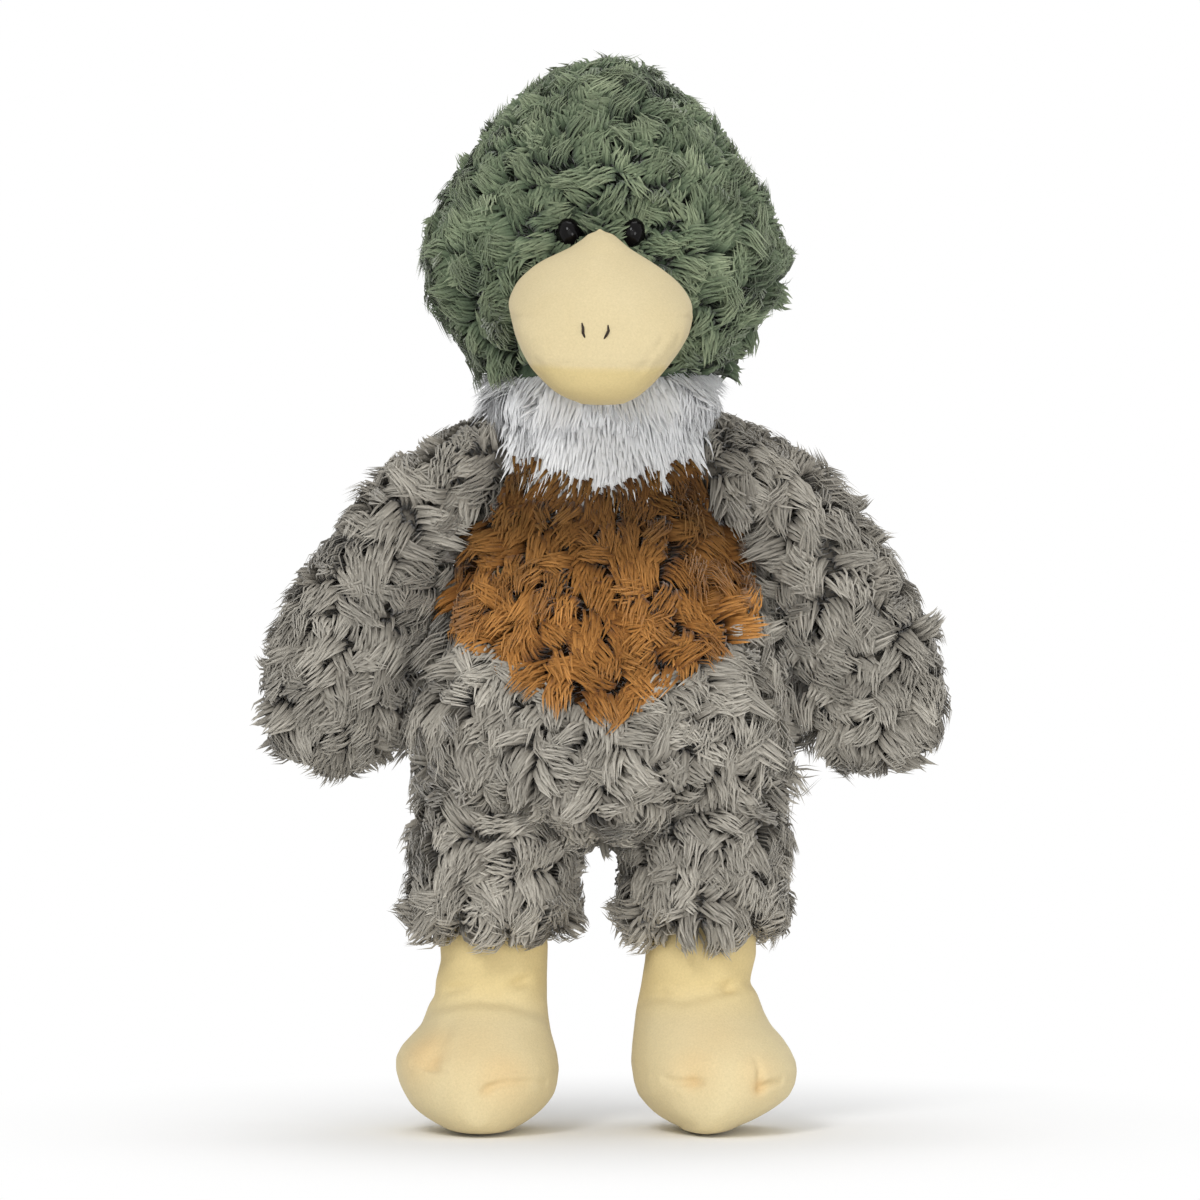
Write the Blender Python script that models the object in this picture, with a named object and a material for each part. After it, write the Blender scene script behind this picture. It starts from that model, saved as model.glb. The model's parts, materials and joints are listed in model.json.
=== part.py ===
"""Plush duck, standing: sewn fur and velour panels over separate wads of stuffing.

Metres, +Z up. The soles stand on z = 0 and the duck faces -Y, so its own left is at +X.
"""

import math

import bmesh
import bpy
from mathutils import Matrix, Vector

# Clearances
seam_gap = 0.0004  # between two panels sewn to each other
patch_gap = 0.0012  # upright gap under the chest patch, whose lower seam runs steeply up at the sides
fill_gap = 0.0006  # between a skin and the stuffing in it
foot_fill_gap = 0.0012  # the same in a foot, whose skin bends more sharply
body_fill_gap = 0.0022  # the same in the body and head, whose panels are faceted each in its own way
joint_gap = 0.0005  # between a limb's round root and the hollow it turns in
wad_gap = 0.0007  # between the wad in a shoulder and the wing's stuffing round it
neck_gap = 0.0012  # between the neck's dome and the head's cup
rest_gap = 0.0016  # between a hanging wing and the flank beside it
guard_gap = 0.0009  # between the body's or head's outline and what is cut to it
overrun = 0.004  # how far a cutter runs past what it cuts

# Cloth
pile_depth = 0.008  # backing and pile of the curly fur
wing_pile_depth = 0.006
velour_thickness = 0.002

# Feet and legs
foot_length = 0.063
foot_width = 0.0515
sole_length = 0.052
sole_width = 0.032
sole_seam_height = 0.005
foot_outset = 0.0043  # the foot's middle stands this far outside its ankle
ankle_radius = 0.017
ankle_neck = 0.017  # from the foot's top ring up to the ankle's middle
ankle_drop = 0.022  # from the hip's axis down to the ankle's
toe_dent_depth = 0.0022
toe_dent_radius = 0.006
toe_dent_spacing = 0.021
toe_dent_height = 0.013
hem_drop = 0.0235  # from the hip's axis down to the trouser leg's hem
trouser_radius = 0.0265
trouser_flare = 0.0005  # wider halfway down, narrower at the hem by as much
hip_height = 0.086
hip_spacing = 0.065
stance_shift = -0.0016  # both legs stand this far to the duck's right

# Torso
crotch_rise = 0.002  # from the hip axis up to the underside of the body
torso_height = 0.141
torso_half_width = 0.058
torso_front_depth = 0.045
torso_back_depth = 0.040
neck_radius = 0.034
neck_pivot_drop = 0.024
neck_opening_radius = 0.0125
neck_wad_radius = 0.011
collar_drop = 0.022  # from the neck's rim down to the collar's edge
collar_point_drop = 0.010  # the point of the collar hangs this much lower
collar_point_angle = 75  # from straight ahead round to where the collar's edge is level again
chest_length = 0.105  # from the neck's rim down to the lowest point of the chest patch
chest_side_rise = 0.061
tail_length = 0.030
tail_half_width = 0.017
tail_half_thickness = 0.0105
tail_height = 0.034  # above the underside of the body
tail_angle = 35  # of the tail over the horizontal
tail_cloth_share = 0.5  # of the half thickness that is cloth and pile

# Head
head_height = 0.105
head_half_width = 0.0545
head_front_depth = 0.049
head_back_depth = 0.050
head_overlap = 0.003  # the head's outline starts this far under the neck's rim

# Bill
beak_length = 0.040  # how far it stands out of the face
beak_root_depth = 0.014  # how far its outline starts inside the face
beak_half_width = 0.029
beak_top_rise = 0.040  # from the mouth seam up to where the bill meets the forehead
beak_chin_drop = 0.013
mouth_height = 0.014  # of the seam above the head's lower end
nostril_length = 0.0042
nostril_width = 0.0014
nostril_spacing = 0.0072
nostril_shift = 0.003  # the pair is sewn this far to the duck's right of the middle

# Eyes
eye_radius = 0.0051
eye_spacing = 0.021
eye_height = 0.054  # above the head's lower end
eye_sink = 0.0042  # from the fur's outline in to the eye's flat back
eye_stem_radius = 0.0016
eye_stem_length = 0.013
washer_radius = 0.0048
washer_thickness = 0.0012
eye_clearance = 0.0003

# Wings
wing_root_radius = 0.0175
shoulder_inset = 0.020  # the shoulder's centre lies this far inside the widest flank
shoulder_drop = 0.024  # and this far under the neck's rim
wing_width = 0.0695  # from the shoulder's centre out to the wing's widest place
wing_drop_share = 0.681  # of torso_height, from the shoulder's centre down to the wing's tip
shoulder_flare = 0.006
shoulder_wad_radius = 0.0095

# Motion that the hollows leave room for, in degrees
leg_forward_angle = 60
leg_back_angle = 20
sweep_end_angle = 4  # the swept room ends in a small flat face on each side
ankle_rim_angle = 22  # from the ankle's middle up to the edge of the stuffing over it
toe_out_angles = {"left": 12, "right": 4}

# Mesh density
body_columns = 24
leg_columns = 18
foot_columns = 18
tail_columns = 12
wing_columns = 14
beak_columns = 16
small_columns = 10
wad_columns = 16
hollow_columns = 20
cup_columns = 32
back_rows = 11
belly_rows = 7
chest_rows = 5
collar_rows = 5
body_fill_rows = 15
body_guard_rows = 22
head_rows = 13
tail_rows = 7
beak_rows = 9
foot_upper_rows = 9
sole_rows = 3
ball_steps = 6
sweep_slices = 11
sweep_steps = 10

sides = {"left": 1, "right": -1}
quarter_turn = 90

# Torso outline from its underside up to the shoulders: height as a share of torso_height, then half width,
# front depth and back depth as shares of the widest ones.
torso_shares = (
    (0.000, 0.00, 0.00, 0.00),
    (0.005, 0.27, 0.27, 0.30),
    (0.018, 0.48, 0.50, 0.53),
    (0.043, 0.69, 0.68, 0.70),
    (0.085, 0.845, 0.80, 0.84),
    (0.156, 0.965, 0.93, 0.95),
    (0.262, 1.00, 1.00, 1.00),
    (0.369, 0.975, 0.98, 0.975),
    (0.475, 0.897, 0.92, 0.925),
    (0.556, 0.83, 0.855, 0.88),
    (0.638, 0.767, 0.79, 0.84),
    (0.723, 0.71, 0.74, 0.82),
)
# Neck: height as a share of torso_height, half width and depth as shares of neck_radius.
neck_shares = ((0.80, 1.115, 0.965), (0.86, 1.05, 0.965), (0.93, 1.01, 0.98), (1.00, 1.00, 1.00))
dome_turn_shares = (0.82, 0.60, 0.40)
# Head outline from its lower end up to the crown.
head_shares = (
    (0.000, 0.58, 0.645, 0.635),
    (0.042, 0.66, 0.73, 0.72),
    (0.108, 0.735, 0.80, 0.785),
    (0.190, 0.86, 0.90, 0.88),
    (0.285, 0.965, 0.975, 0.96),
    (0.385, 1.00, 1.00, 1.00),
    (0.490, 0.97, 0.985, 1.00),
    (0.610, 0.905, 0.945, 0.975),
    (0.735, 0.82, 0.865, 0.90),
    (0.850, 0.655, 0.71, 0.715),
    (0.935, 0.455, 0.505, 0.50),
    (0.982, 0.25, 0.28, 0.28),
    (1.000, 0.00, 0.00, 0.00),
)
# Foot outline from the sole up to the ankle: height as a share of foot_height, how much of foot_width and
# foot_length it has there, how far the ring's middle lies forward, and how much of foot_outset it takes.
foot_shares = (
    (0.09, 0.84, 0.93, 1.00, 1.00),
    (0.22, 0.96, 1.00, 1.00, 1.00),
    (0.38, 1.00, 0.985, 0.98, 1.00),
    (0.54, 0.955, 0.90, 0.80, 0.85),
    (0.70, 0.855, 0.755, 0.46, 0.55),
    (0.85, 0.735, 0.615, 0.14, 0.20),
    (1.00, 0.66, 0.54, 0.00, 0.00),
)
ankle_degrees = (20, 42, 65)  # heights of the rings on the ankle's ball
foot_forward_share = 0.20  # of foot_length, from the ankle to the foot's middle
# Bill rings from its root to its tip: how far out, half width, top over the seam, underside below it.
beak_shares = (
    (0.00, 0.90, 1.00, 0.30),
    (0.30, 0.97, 0.97, 0.92),
    (0.52, 1.00, 0.83, 0.98),
    (0.70, 0.985, 0.70, 0.92),
    (0.84, 0.90, 0.56, 0.80),
    (0.93, 0.72, 0.42, 0.60),
    (0.98, 0.43, 0.26, 0.34),
    (1.00, 0.00, 0.00, 0.00),
)
beak_cheek_share = 0.40  # of the top's height, where a ring is widest
beak_tip_droop_share = 0.10
nostril_share = 0.82  # of the way from the bill's root to its tip, counted in rings
nostril_step = 0.05  # the next place along the bill, which gives a nostril its direction
beak_brow_power = 1.25  # a low power draws the bill's top to a ridge
beak_chin_power = 2.1
# Outer edge of the wing below its root: out as a share of wing_width, down as a share of wing_drop,
# and the height of the matching place on the inner edge as a share of wing_drop.
wing_edge_shares = (
    (0.455, 0.040, 0.215),
    (0.585, 0.140, 0.285),
    (0.720, 0.260, 0.355),
    (0.835, 0.390, 0.440),
    (0.925, 0.525, 0.530),
    (0.985, 0.665, 0.635),
    (1.000, 0.790, 0.740),
    (0.950, 0.900, 0.845),
    (0.820, 0.970, 0.945),
)
wing_thickness_shares = (0.95, 0.93, 0.92, 0.92, 0.89, 0.86, 0.79, 0.67, 0.44)
wing_tip_shares = (0.62, 1.00)
wing_root_shares = (0.30, -0.055, 0.975)  # the ring after the round root: out, down, half thickness
wing_root_degrees = (-60, -30, 0)
wing_foot_inset_shares = (0, 0, 0, 0, 0, 0, 0, 0.03, 0.13)
wing_axis_angle = 40  # of the wing's root below the horizontal

ankle_height = hip_height - ankle_drop
foot_height = ankle_height - ankle_neck
torso_bottom = hip_height + crotch_rise
neck_rim = torso_bottom + torso_height
neck_pivot = Vector((0, 0, neck_rim - neck_pivot_drop))
dome_radius = math.hypot(neck_radius, neck_pivot_drop)
cup_radius = dome_radius + neck_gap
head_bottom = neck_rim - head_overlap
shoulder_height = neck_rim - shoulder_drop
wing_drop = torso_height * wing_drop_share
beak_front = head_front_depth + beak_length
tail_run = (tail_length + tail_half_thickness) * math.cos(math.radians(tail_angle))
tail_back = torso_back_depth - tail_half_thickness + tail_run
# Everything is modelled round the neck's upright axis, then moved so that the middle of its depth
# stands over the origin.
middle_shift = Vector((0, (beak_front - tail_back) / 2, 0))


def material(name, color, roughness, metallic=0.0):
    made = bpy.data.materials.new(name)
    made.use_nodes = True
    made.diffuse_color = (*color, 1)
    shader = made.node_tree.nodes["Principled BSDF"]
    shader.inputs["Base Color"].default_value = (*color, 1)
    shader.inputs["Roughness"].default_value = roughness
    shader.inputs["Metallic"].default_value = metallic
    return made


def smooth(values, share):
    """A smooth curve through evenly spaced values, read at a share of its length."""
    last = len(values) - 1
    place = min(max(share, 0), 1) * last
    index = min(int(place), last - 1)
    part = place - index
    start = values[index]
    end = values[index + 1]
    leave = (end - values[max(index - 1, 0)]) / 2
    arrive = (values[min(index + 2, last)] - start) / 2
    bend = 2 * (start - end) + leave + arrive
    swing = 3 * (end - start) - 2 * leave - arrive
    return start + part * (leave + part * (swing + part * bend))


def ring_surface(rows):
    """A surface through level rings. A row holds height, half width, front and back depth, middle x and y."""
    columns = [list(column) for column in zip(*rows)]

    def point(turn, share):
        height, width, front, back, across, along = (smooth(column, share) for column in columns)
        depth = back if math.sin(turn) > 0 else front
        return Vector((across + width * math.cos(turn), along + depth * math.sin(turn), height))

    return point


def share_at(surface, height, lowest=0.0):
    """How far up a surface of level rings a height lies; below the lowest share the surface is flat."""
    low = lowest
    high = 1.0
    for _ in range(40):
        middle = (low + high) / 2
        if surface(0, middle).z < height:
            low = middle
        else:
            high = middle
    return (low + high) / 2


def outward(surface, turn, share):
    """The surface's outward normal; at a pole it is the mean of the normals round it."""
    turn_step = 0.02
    share_step = 0.004
    around = surface(turn + turn_step, share) - surface(turn - turn_step, share)
    if around.length > 1e-7:
        along = surface(turn, min(share + share_step, 1)) - surface(turn, max(share - share_step, 0))
        return around.cross(along).normalized()
    near = min(max(share, 2 * share_step), 1 - 2 * share_step)
    total = Vector()
    for quarter in range(4):
        total += outward(surface, quarter * math.pi / 2, near)
    return total.normalized()


def inset(surface, turn, share, depth):
    return surface(turn, share) - outward(surface, turn, share) * depth


def add_face(mesh, corners):
    """One face, with corners that coincide taken once."""
    kept = []
    for corner in corners:
        if all((corner.co - other.co).length > 1e-7 for other in kept):
            kept.append(corner)
    if len(kept) > 2:
        mesh.faces.new(kept)


def build_object(name, mesh, paint, pivot=None, shift=(0, 0, 0)):
    """Turns a closed mesh into a named object whose origin is on its joint."""
    bmesh.ops.remove_doubles(mesh, verts=mesh.verts, dist=1e-7)
    bmesh.ops.recalc_face_normals(mesh, faces=mesh.faces)
    home = pivot.location_in_world if isinstance(pivot, Pivot) else Vector()
    bmesh.ops.translate(mesh, verts=mesh.verts, vec=Vector(shift) + middle_shift - home)
    data = bpy.data.meshes.new(name)
    mesh.to_mesh(data)
    mesh.free()
    data.shade_smooth()
    made = bpy.data.objects.new(name, data)
    bpy.context.scene.collection.objects.link(made)
    if paint is None:
        made.hide_render = True
        made.display_type = "WIRE"
    else:
        data.materials.append(paint)
    if isinstance(pivot, Pivot):
        made.parent = pivot.empty
    return made


class Pivot:
    """An empty on a joint's axis, under the pivot that carries it."""

    def __init__(self, name, place, carrier=None):
        self.location_in_world = Vector(place) + middle_shift
        self.empty = bpy.data.objects.new(name, None)
        bpy.context.scene.collection.objects.link(self.empty)
        self.empty.location = self.location_in_world
        if carrier is not None:
            self.empty.parent = carrier.empty
            self.empty.location = self.location_in_world - carrier.location_in_world


def spread(start, end, count):
    return [start + (end - start) * index / count for index in range(count + 1)]


def bottom_edge(turn):
    return 0.0


def top_edge(turn):
    return 1.0


def shell_mesh(surface, turns, low, high, rows, depth, full=False):
    """A closed sheet of cloth on a surface, between two edges that are functions of the turn."""
    mesh = bmesh.new()
    outer = []
    inner = []
    for turn in turns:
        levels = spread(low(turn), high(turn), rows)
        outer.append([mesh.verts.new(surface(turn, level)) for level in levels])
        inner.append([mesh.verts.new(inset(surface, turn, level, depth)) for level in levels])
    count = len(turns)
    for index in range(count if full else count - 1):
        following = (index + 1) % count
        a, b, c, d = outer[index], outer[following], inner[following], inner[index]
        for row in range(rows):
            add_face(mesh, (a[row], b[row], b[row + 1], a[row + 1]))
            add_face(mesh, (d[row], d[row + 1], c[row + 1], c[row]))
        add_face(mesh, (a[0], d[0], c[0], b[0]))
        add_face(mesh, (a[rows], b[rows], c[rows], d[rows]))
    if not full:
        for row in range(rows):
            first = (outer[0][row], outer[0][row + 1], inner[0][row + 1], inner[0][row])
            last = (outer[-1][row], inner[-1][row], inner[-1][row + 1], outer[-1][row + 1])
            add_face(mesh, first)
            add_face(mesh, last)
    return mesh


def solid_mesh(surface, columns, rows, depth, run_back=(0, 0, 0)):
    """A closed body inside a surface, with its ends closed by flat faces or poles."""
    mesh = bmesh.new()
    rings = []
    for level in spread(0, 1, rows):
        turns = spread(0, 2 * math.pi, columns)[:-1]
        back = Vector(run_back) if level == 0 else Vector()
        rings.append([mesh.verts.new(inset(surface, turn, level, depth) + back) for turn in turns])
    for ring, above in zip(rings, rings[1:]):
        for index in range(columns):
            following = (index + 1) % columns
            add_face(mesh, (ring[index], ring[following], above[following], above[index]))
    add_face(mesh, tuple(reversed(rings[0])))
    add_face(mesh, tuple(rings[-1]))
    return mesh


def lathe_mesh(profile, columns, place=(0, 0, 0), axis=(0, 0, 1)):
    """A profile of (radius, height) points, from axis to axis or closed, turned about an axis."""
    mesh = bmesh.new()
    turned = Vector((0, 0, 1)).rotation_difference(Vector(axis)).to_matrix()
    closed = profile[0][0] > 0 and profile[-1][0] > 0
    rings = []
    for turn in spread(0, 2 * math.pi, columns)[:-1]:
        ring = []
        for radius, height in profile:
            spot = Vector((radius * math.cos(turn), radius * math.sin(turn), height))
            ring.append(mesh.verts.new(Vector(place) + turned @ spot))
        rings.append(ring)
    steps = len(profile) if closed else len(profile) - 1
    for index in range(columns):
        here, there = rings[index], rings[(index + 1) % columns]
        for step in range(steps):
            following = (step + 1) % len(profile)
            add_face(mesh, (here[step], there[step], there[following], here[following]))
    return mesh


def arc(radius, start, end, count, height=0.0):
    """Profile points on a circle about the axis; angles in degrees up from the horizontal."""
    points = []
    for angle in spread(math.radians(start), math.radians(end), count):
        reach = 0.0 if abs(math.cos(angle)) < 1e-9 else radius * math.cos(angle)
        points.append((reach, height + radius * math.sin(angle)))
    return points


def ball_mesh(radius, columns, place):
    return lathe_mesh(arc(radius, -quarter_turn, quarter_turn, columns // 2), columns, place)


def cut(target, *cutters):
    for cutter in cutters:
        change = target.modifiers.new("cut by " + cutter.name, "BOOLEAN")
        change.operation = "DIFFERENCE"
        change.solver = "EXACT"
        change.object = cutter


def torso_surface():
    rows = []
    for height, width, front, back in torso_shares:
        rows.append(
            (
                torso_bottom + torso_height * height,
                torso_half_width * width,
                torso_front_depth * front,
                torso_back_depth * back,
                0,
                0,
            )
        )
    for height, width, depth in neck_shares:
        reach = neck_radius * depth
        rows.append((torso_bottom + torso_height * height, neck_radius * width, reach, reach, 0, 0))
    rim_turn = math.asin(neck_radius / dome_radius)
    opening_turn = math.asin(neck_opening_radius / dome_radius)
    for turn in [rim_turn * share for share in dome_turn_shares] + [opening_turn]:
        reach = dome_radius * math.sin(turn)
        rows.append((neck_pivot.z + dome_radius * math.cos(turn), reach, reach, reach, 0, 0))
    return ring_surface(rows)


def head_surface():
    rows = []
    for height, width, front, back in head_shares:
        rows.append(
            (
                head_bottom + head_height * height,
                head_half_width * width,
                head_front_depth * front,
                head_back_depth * back,
                0,
                0,
            )
        )
    return ring_surface(rows)


def angle_from_front(turn):
    """Degrees between a turn about the duck and straight ahead."""
    return abs((math.degrees(turn) + 90 + 180) % 360 - 180)


def build_torso(paints, cutters):
    surface = torso_surface()
    front = spread(-math.pi, 0, body_columns // 2)
    back = spread(0, math.pi, body_columns // 2)
    everywhere = spread(-math.pi, math.pi, body_columns)[:-1]

    def collar_edge(turn):
        point = max(0, 1 - angle_from_front(turn) / collar_point_angle)
        return neck_rim - collar_drop - collar_point_drop * point

    def chest_edge(turn):
        return neck_rim - chest_length + chest_side_rise * (angle_from_front(turn) / quarter_turn) ** 2

    def under_collar(turn):
        return share_at(surface, collar_edge(turn) - seam_gap)

    def over_collar(turn):
        return share_at(surface, collar_edge(turn))

    def under_chest(turn):
        return share_at(surface, chest_edge(turn) - patch_gap)

    def over_chest(turn):
        return share_at(surface, chest_edge(turn))

    shift = seam_gap / 2
    back_mesh = shell_mesh(surface, back, bottom_edge, under_collar, back_rows, pile_depth)
    belly_mesh = shell_mesh(surface, front, bottom_edge, under_chest, belly_rows, pile_depth)
    chest_mesh = shell_mesh(surface, front, over_chest, under_collar, chest_rows, pile_depth)
    collar_mesh = shell_mesh(surface, everywhere, over_collar, top_edge, collar_rows, pile_depth, full=True)
    back_panel = build_object("body_back_panel", back_mesh, paints["taupe_fur"], shift=(0, shift, 0))
    belly = build_object("belly_panel", belly_mesh, paints["taupe_fur"], shift=(0, -shift, 0))
    chest = build_object("chest_panel", chest_mesh, paints["chest_fur"], shift=(0, -shift, 0))
    collar = build_object("neck_collar", collar_mesh, paints["white_fur"])
    fill_mesh = solid_mesh(surface, body_columns, body_fill_rows, pile_depth + body_fill_gap)
    fill = build_object("body_fill", fill_mesh, paints["stuffing"])
    cut(back_panel, *cutters["shoulders"], *cutters["hips"])
    cut(belly, *cutters["hips"])
    cut(chest, *cutters["shoulders"])
    cut(collar, *cutters["shoulders"])
    cut(fill, *cutters["shoulders"], *cutters["hips"], cutters["neck_pocket"])


def build_tail(paints, torso_guard):
    """A short flat tail that points up and back; its root is cut to the body behind it."""
    root = Vector((0, torso_back_depth - tail_half_thickness, torso_bottom + tail_height))
    lift = math.radians(tail_angle)
    ahead = Vector((0, math.cos(lift), math.sin(lift)))
    up = Vector((0, -math.sin(lift), math.cos(lift)))
    reach_shares = (0.0, 0.25, 0.50, 0.70, 0.86, 0.96, 1.0)
    girth_shares = (0.92, 1.0, 0.96, 0.84, 0.62, 0.34, 0.0)

    def point(turn, share):
        reach = smooth(reach_shares, share) * (tail_length + tail_half_thickness)
        girth = smooth(girth_shares, share)
        across = Vector((-tail_half_width * girth * math.cos(turn), 0, 0))
        return root + ahead * reach + across + up * tail_half_thickness * girth * math.sin(turn)

    shape = build_object("tail", solid_mesh(point, tail_columns, tail_rows, 0.0), paints["taupe_fur"])
    depth = tail_half_thickness * tail_cloth_share
    hollow_mesh = solid_mesh(point, tail_columns, tail_rows, depth, ahead * -overrun)
    hollow = build_object("tail_hollow", hollow_mesh, None)
    wad_mesh = solid_mesh(point, tail_columns, tail_rows, depth + fill_gap)
    wad = build_object("tail_fill", wad_mesh, paints["stuffing"])
    cut(shape, hollow, torso_guard)
    cut(wad, torso_guard)


def build_neck_wad(paints):
    neck = Pivot("neck_pivot", neck_pivot)
    wad = ball_mesh(neck_wad_radius, body_columns, neck_pivot)
    build_object("neck_fill", wad, paints["stuffing"], neck)
    return neck


def eye_frame(surface, side):
    """Where an eye's back sits, and the way it faces."""
    height = head_bottom + eye_height
    share = share_at(surface, height)
    width = surface(0, share).x
    turn = -math.pi / 2 + side * math.asin(eye_spacing / 2 / width)
    facing = outward(surface, turn, share)
    return surface(turn, share), facing


def build_eyes(paints, surface, neck):
    pockets = {}
    for name, side in sides.items():
        skin, facing = eye_frame(surface, side)
        back = -eye_sink
        stem_end = back - eye_stem_length
        ball = arc(eye_radius, 0, quarter_turn, ball_steps, height=back)
        eye_profile = [(0, stem_end), (eye_stem_radius, stem_end), (eye_stem_radius, back)] + ball
        eye_mesh = lathe_mesh(eye_profile, small_columns, skin, facing)
        build_object("eye_" + name, eye_mesh, paints["eye_black"], neck)
        hole = eye_stem_radius + eye_clearance
        front_face = -pile_depth - 2 * eye_clearance
        back_face = front_face - washer_thickness
        ring = [(hole, back_face), (washer_radius, back_face), (washer_radius, front_face), (hole, front_face)]
        washer = lathe_mesh(ring, small_columns, skin, facing)
        build_object("eye_washer_" + name, washer, paints["washer_white"], neck)
        mouth = eye_radius + 2 * eye_clearance
        seat = back - eye_clearance
        pocket = [
            (0, -pile_depth - overrun),
            (hole, -pile_depth - overrun),
            (hole, seat),
            (mouth, seat),
            (mouth, overrun),
            (0, overrun),
        ]
        face = build_object("eye_pocket_" + name, lathe_mesh(pocket, small_columns, skin, facing), None)
        room = washer_radius + 2 * eye_clearance
        depth = stem_end - 2 * eye_clearance
        shaft = [(0, depth), (room, depth), (room, overrun), (0, overrun)]
        inside = build_object("eye_shaft_" + name, lathe_mesh(shaft, small_columns, skin, facing), None)
        pockets[name] = (face, inside)
    return pockets


def build_head(paints, surface, neck, pockets, cup):
    back = spread(0, math.pi, body_columns // 2)
    quarter = body_columns // 4
    shift = seam_gap / 2
    for name, side in sides.items():
        edge = 0 if side > 0 else -math.pi
        turns = spread(-math.pi / 2, edge, quarter)
        mesh = shell_mesh(surface, turns, bottom_edge, top_edge, head_rows, pile_depth)
        label = "head_panel_" + name
        panel = build_object(label, mesh, paints["green_fur"], neck, (side * shift, -shift, 0))
        cut(panel, cup, pockets[name][0])
    mesh = shell_mesh(surface, back, bottom_edge, top_edge, head_rows, pile_depth)
    panel = build_object("head_back_panel", mesh, paints["green_fur"], neck, (0, shift, 0))
    cut(panel, cup)
    mesh = solid_mesh(surface, body_columns, head_rows, pile_depth + fill_gap)
    fill = build_object("head_fill", mesh, paints["stuffing"], neck)
    cut(fill, cup, pockets["left"][1], pockets["right"][1])


def beak_surface():
    """Rings that stand across -Y, each widest at the cheeks over the mouth seam."""
    columns = [list(column) for column in zip(*beak_shares)]
    seam = head_bottom + mouth_height
    face = -head_front_depth + beak_root_depth
    length = beak_length + beak_root_depth

    def superellipse(turn, power):
        across = abs(math.cos(turn)) ** (2 / power)
        upward = abs(math.sin(turn)) ** (2 / power)
        return math.copysign(across, math.cos(turn)), math.copysign(upward, math.sin(turn))

    def point(turn, share):
        out, width, top, chin = (smooth(column, share) for column in columns)
        cheek = beak_top_rise * top * beak_cheek_share
        droop = beak_top_rise * beak_tip_droop_share * out * out
        upper = math.sin(turn) > 0
        across, upward = superellipse(turn, beak_brow_power if upper else beak_chin_power)
        rise = beak_top_rise * top - cheek if upper else beak_chin_drop * chin + cheek
        height = seam - droop + cheek + rise * upward
        return Vector((beak_half_width * width * across, face - length * out, height))

    return point


def build_beak(paints, neck, head_guard):
    surface = beak_surface()
    seam = head_bottom + mouth_height
    reach = 2 * (beak_length + beak_root_depth)
    outer = solid_mesh(surface, beak_columns, beak_rows, 0.0)
    hollow_mesh = solid_mesh(surface, beak_columns, beak_rows, velour_thickness, (0, overrun, 0))
    hollow = build_object("beak_hollow", hollow_mesh, None)
    fill_mesh = solid_mesh(surface, beak_columns, beak_rows, velour_thickness + fill_gap)
    fill = build_object("beak_fill", fill_mesh, paints["stuffing"], neck)
    cut(fill, head_guard)
    for label, sign in (("beak_upper", 1), ("beak_lower", -1)):
        mesh = bmesh.new()
        size = Matrix.Diagonal((2 * reach, 3 * reach, reach, 1))
        middle = seam - sign * (reach / 2 - seam_gap / 2)
        bmesh.ops.create_cube(mesh, size=1, matrix=Matrix.Translation((0, 0, middle)) @ size)
        half = build_object(label + "_other_half", mesh, None)
        skin = build_object(label, outer.copy(), paints["beak_velour"], neck)
        cut(skin, half, head_guard, hollow)
    outer.free()
    return surface


def build_nostrils(paints, surface, neck):
    """Two short upright stitches that lie on the bill near its tip."""
    for name, side in sides.items():
        across_bill = side * nostril_spacing / 2 - nostril_shift
        offset = abs(across_bill) / surface(0, nostril_share).x
        turn = math.acos(offset ** (beak_brow_power / 2))
        if across_bill < 0:
            turn = math.pi - turn
        place = surface(turn, nostril_share)
        facing = outward(surface, turn, nostril_share)
        along = (surface(turn, nostril_share + nostril_step) - place).normalized()
        across = facing.cross(along)
        thickness = nostril_width / 2
        centre = place + facing * (eye_clearance + thickness)
        mesh = ball_mesh(1, small_columns, (0, 0, 0))
        frame = Matrix((across, facing, along)).transposed().to_4x4()
        size = Matrix.Diagonal((thickness, thickness, nostril_length / 2, 1))
        bmesh.ops.transform(mesh, verts=mesh.verts, matrix=Matrix.Translation(centre) @ frame @ size)
        build_object("nostril_" + name, mesh, paints["thread"], neck)


def shoulder_place(side):
    return Vector((side * (torso_half_width - shoulder_inset), 0, shoulder_height))


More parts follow.
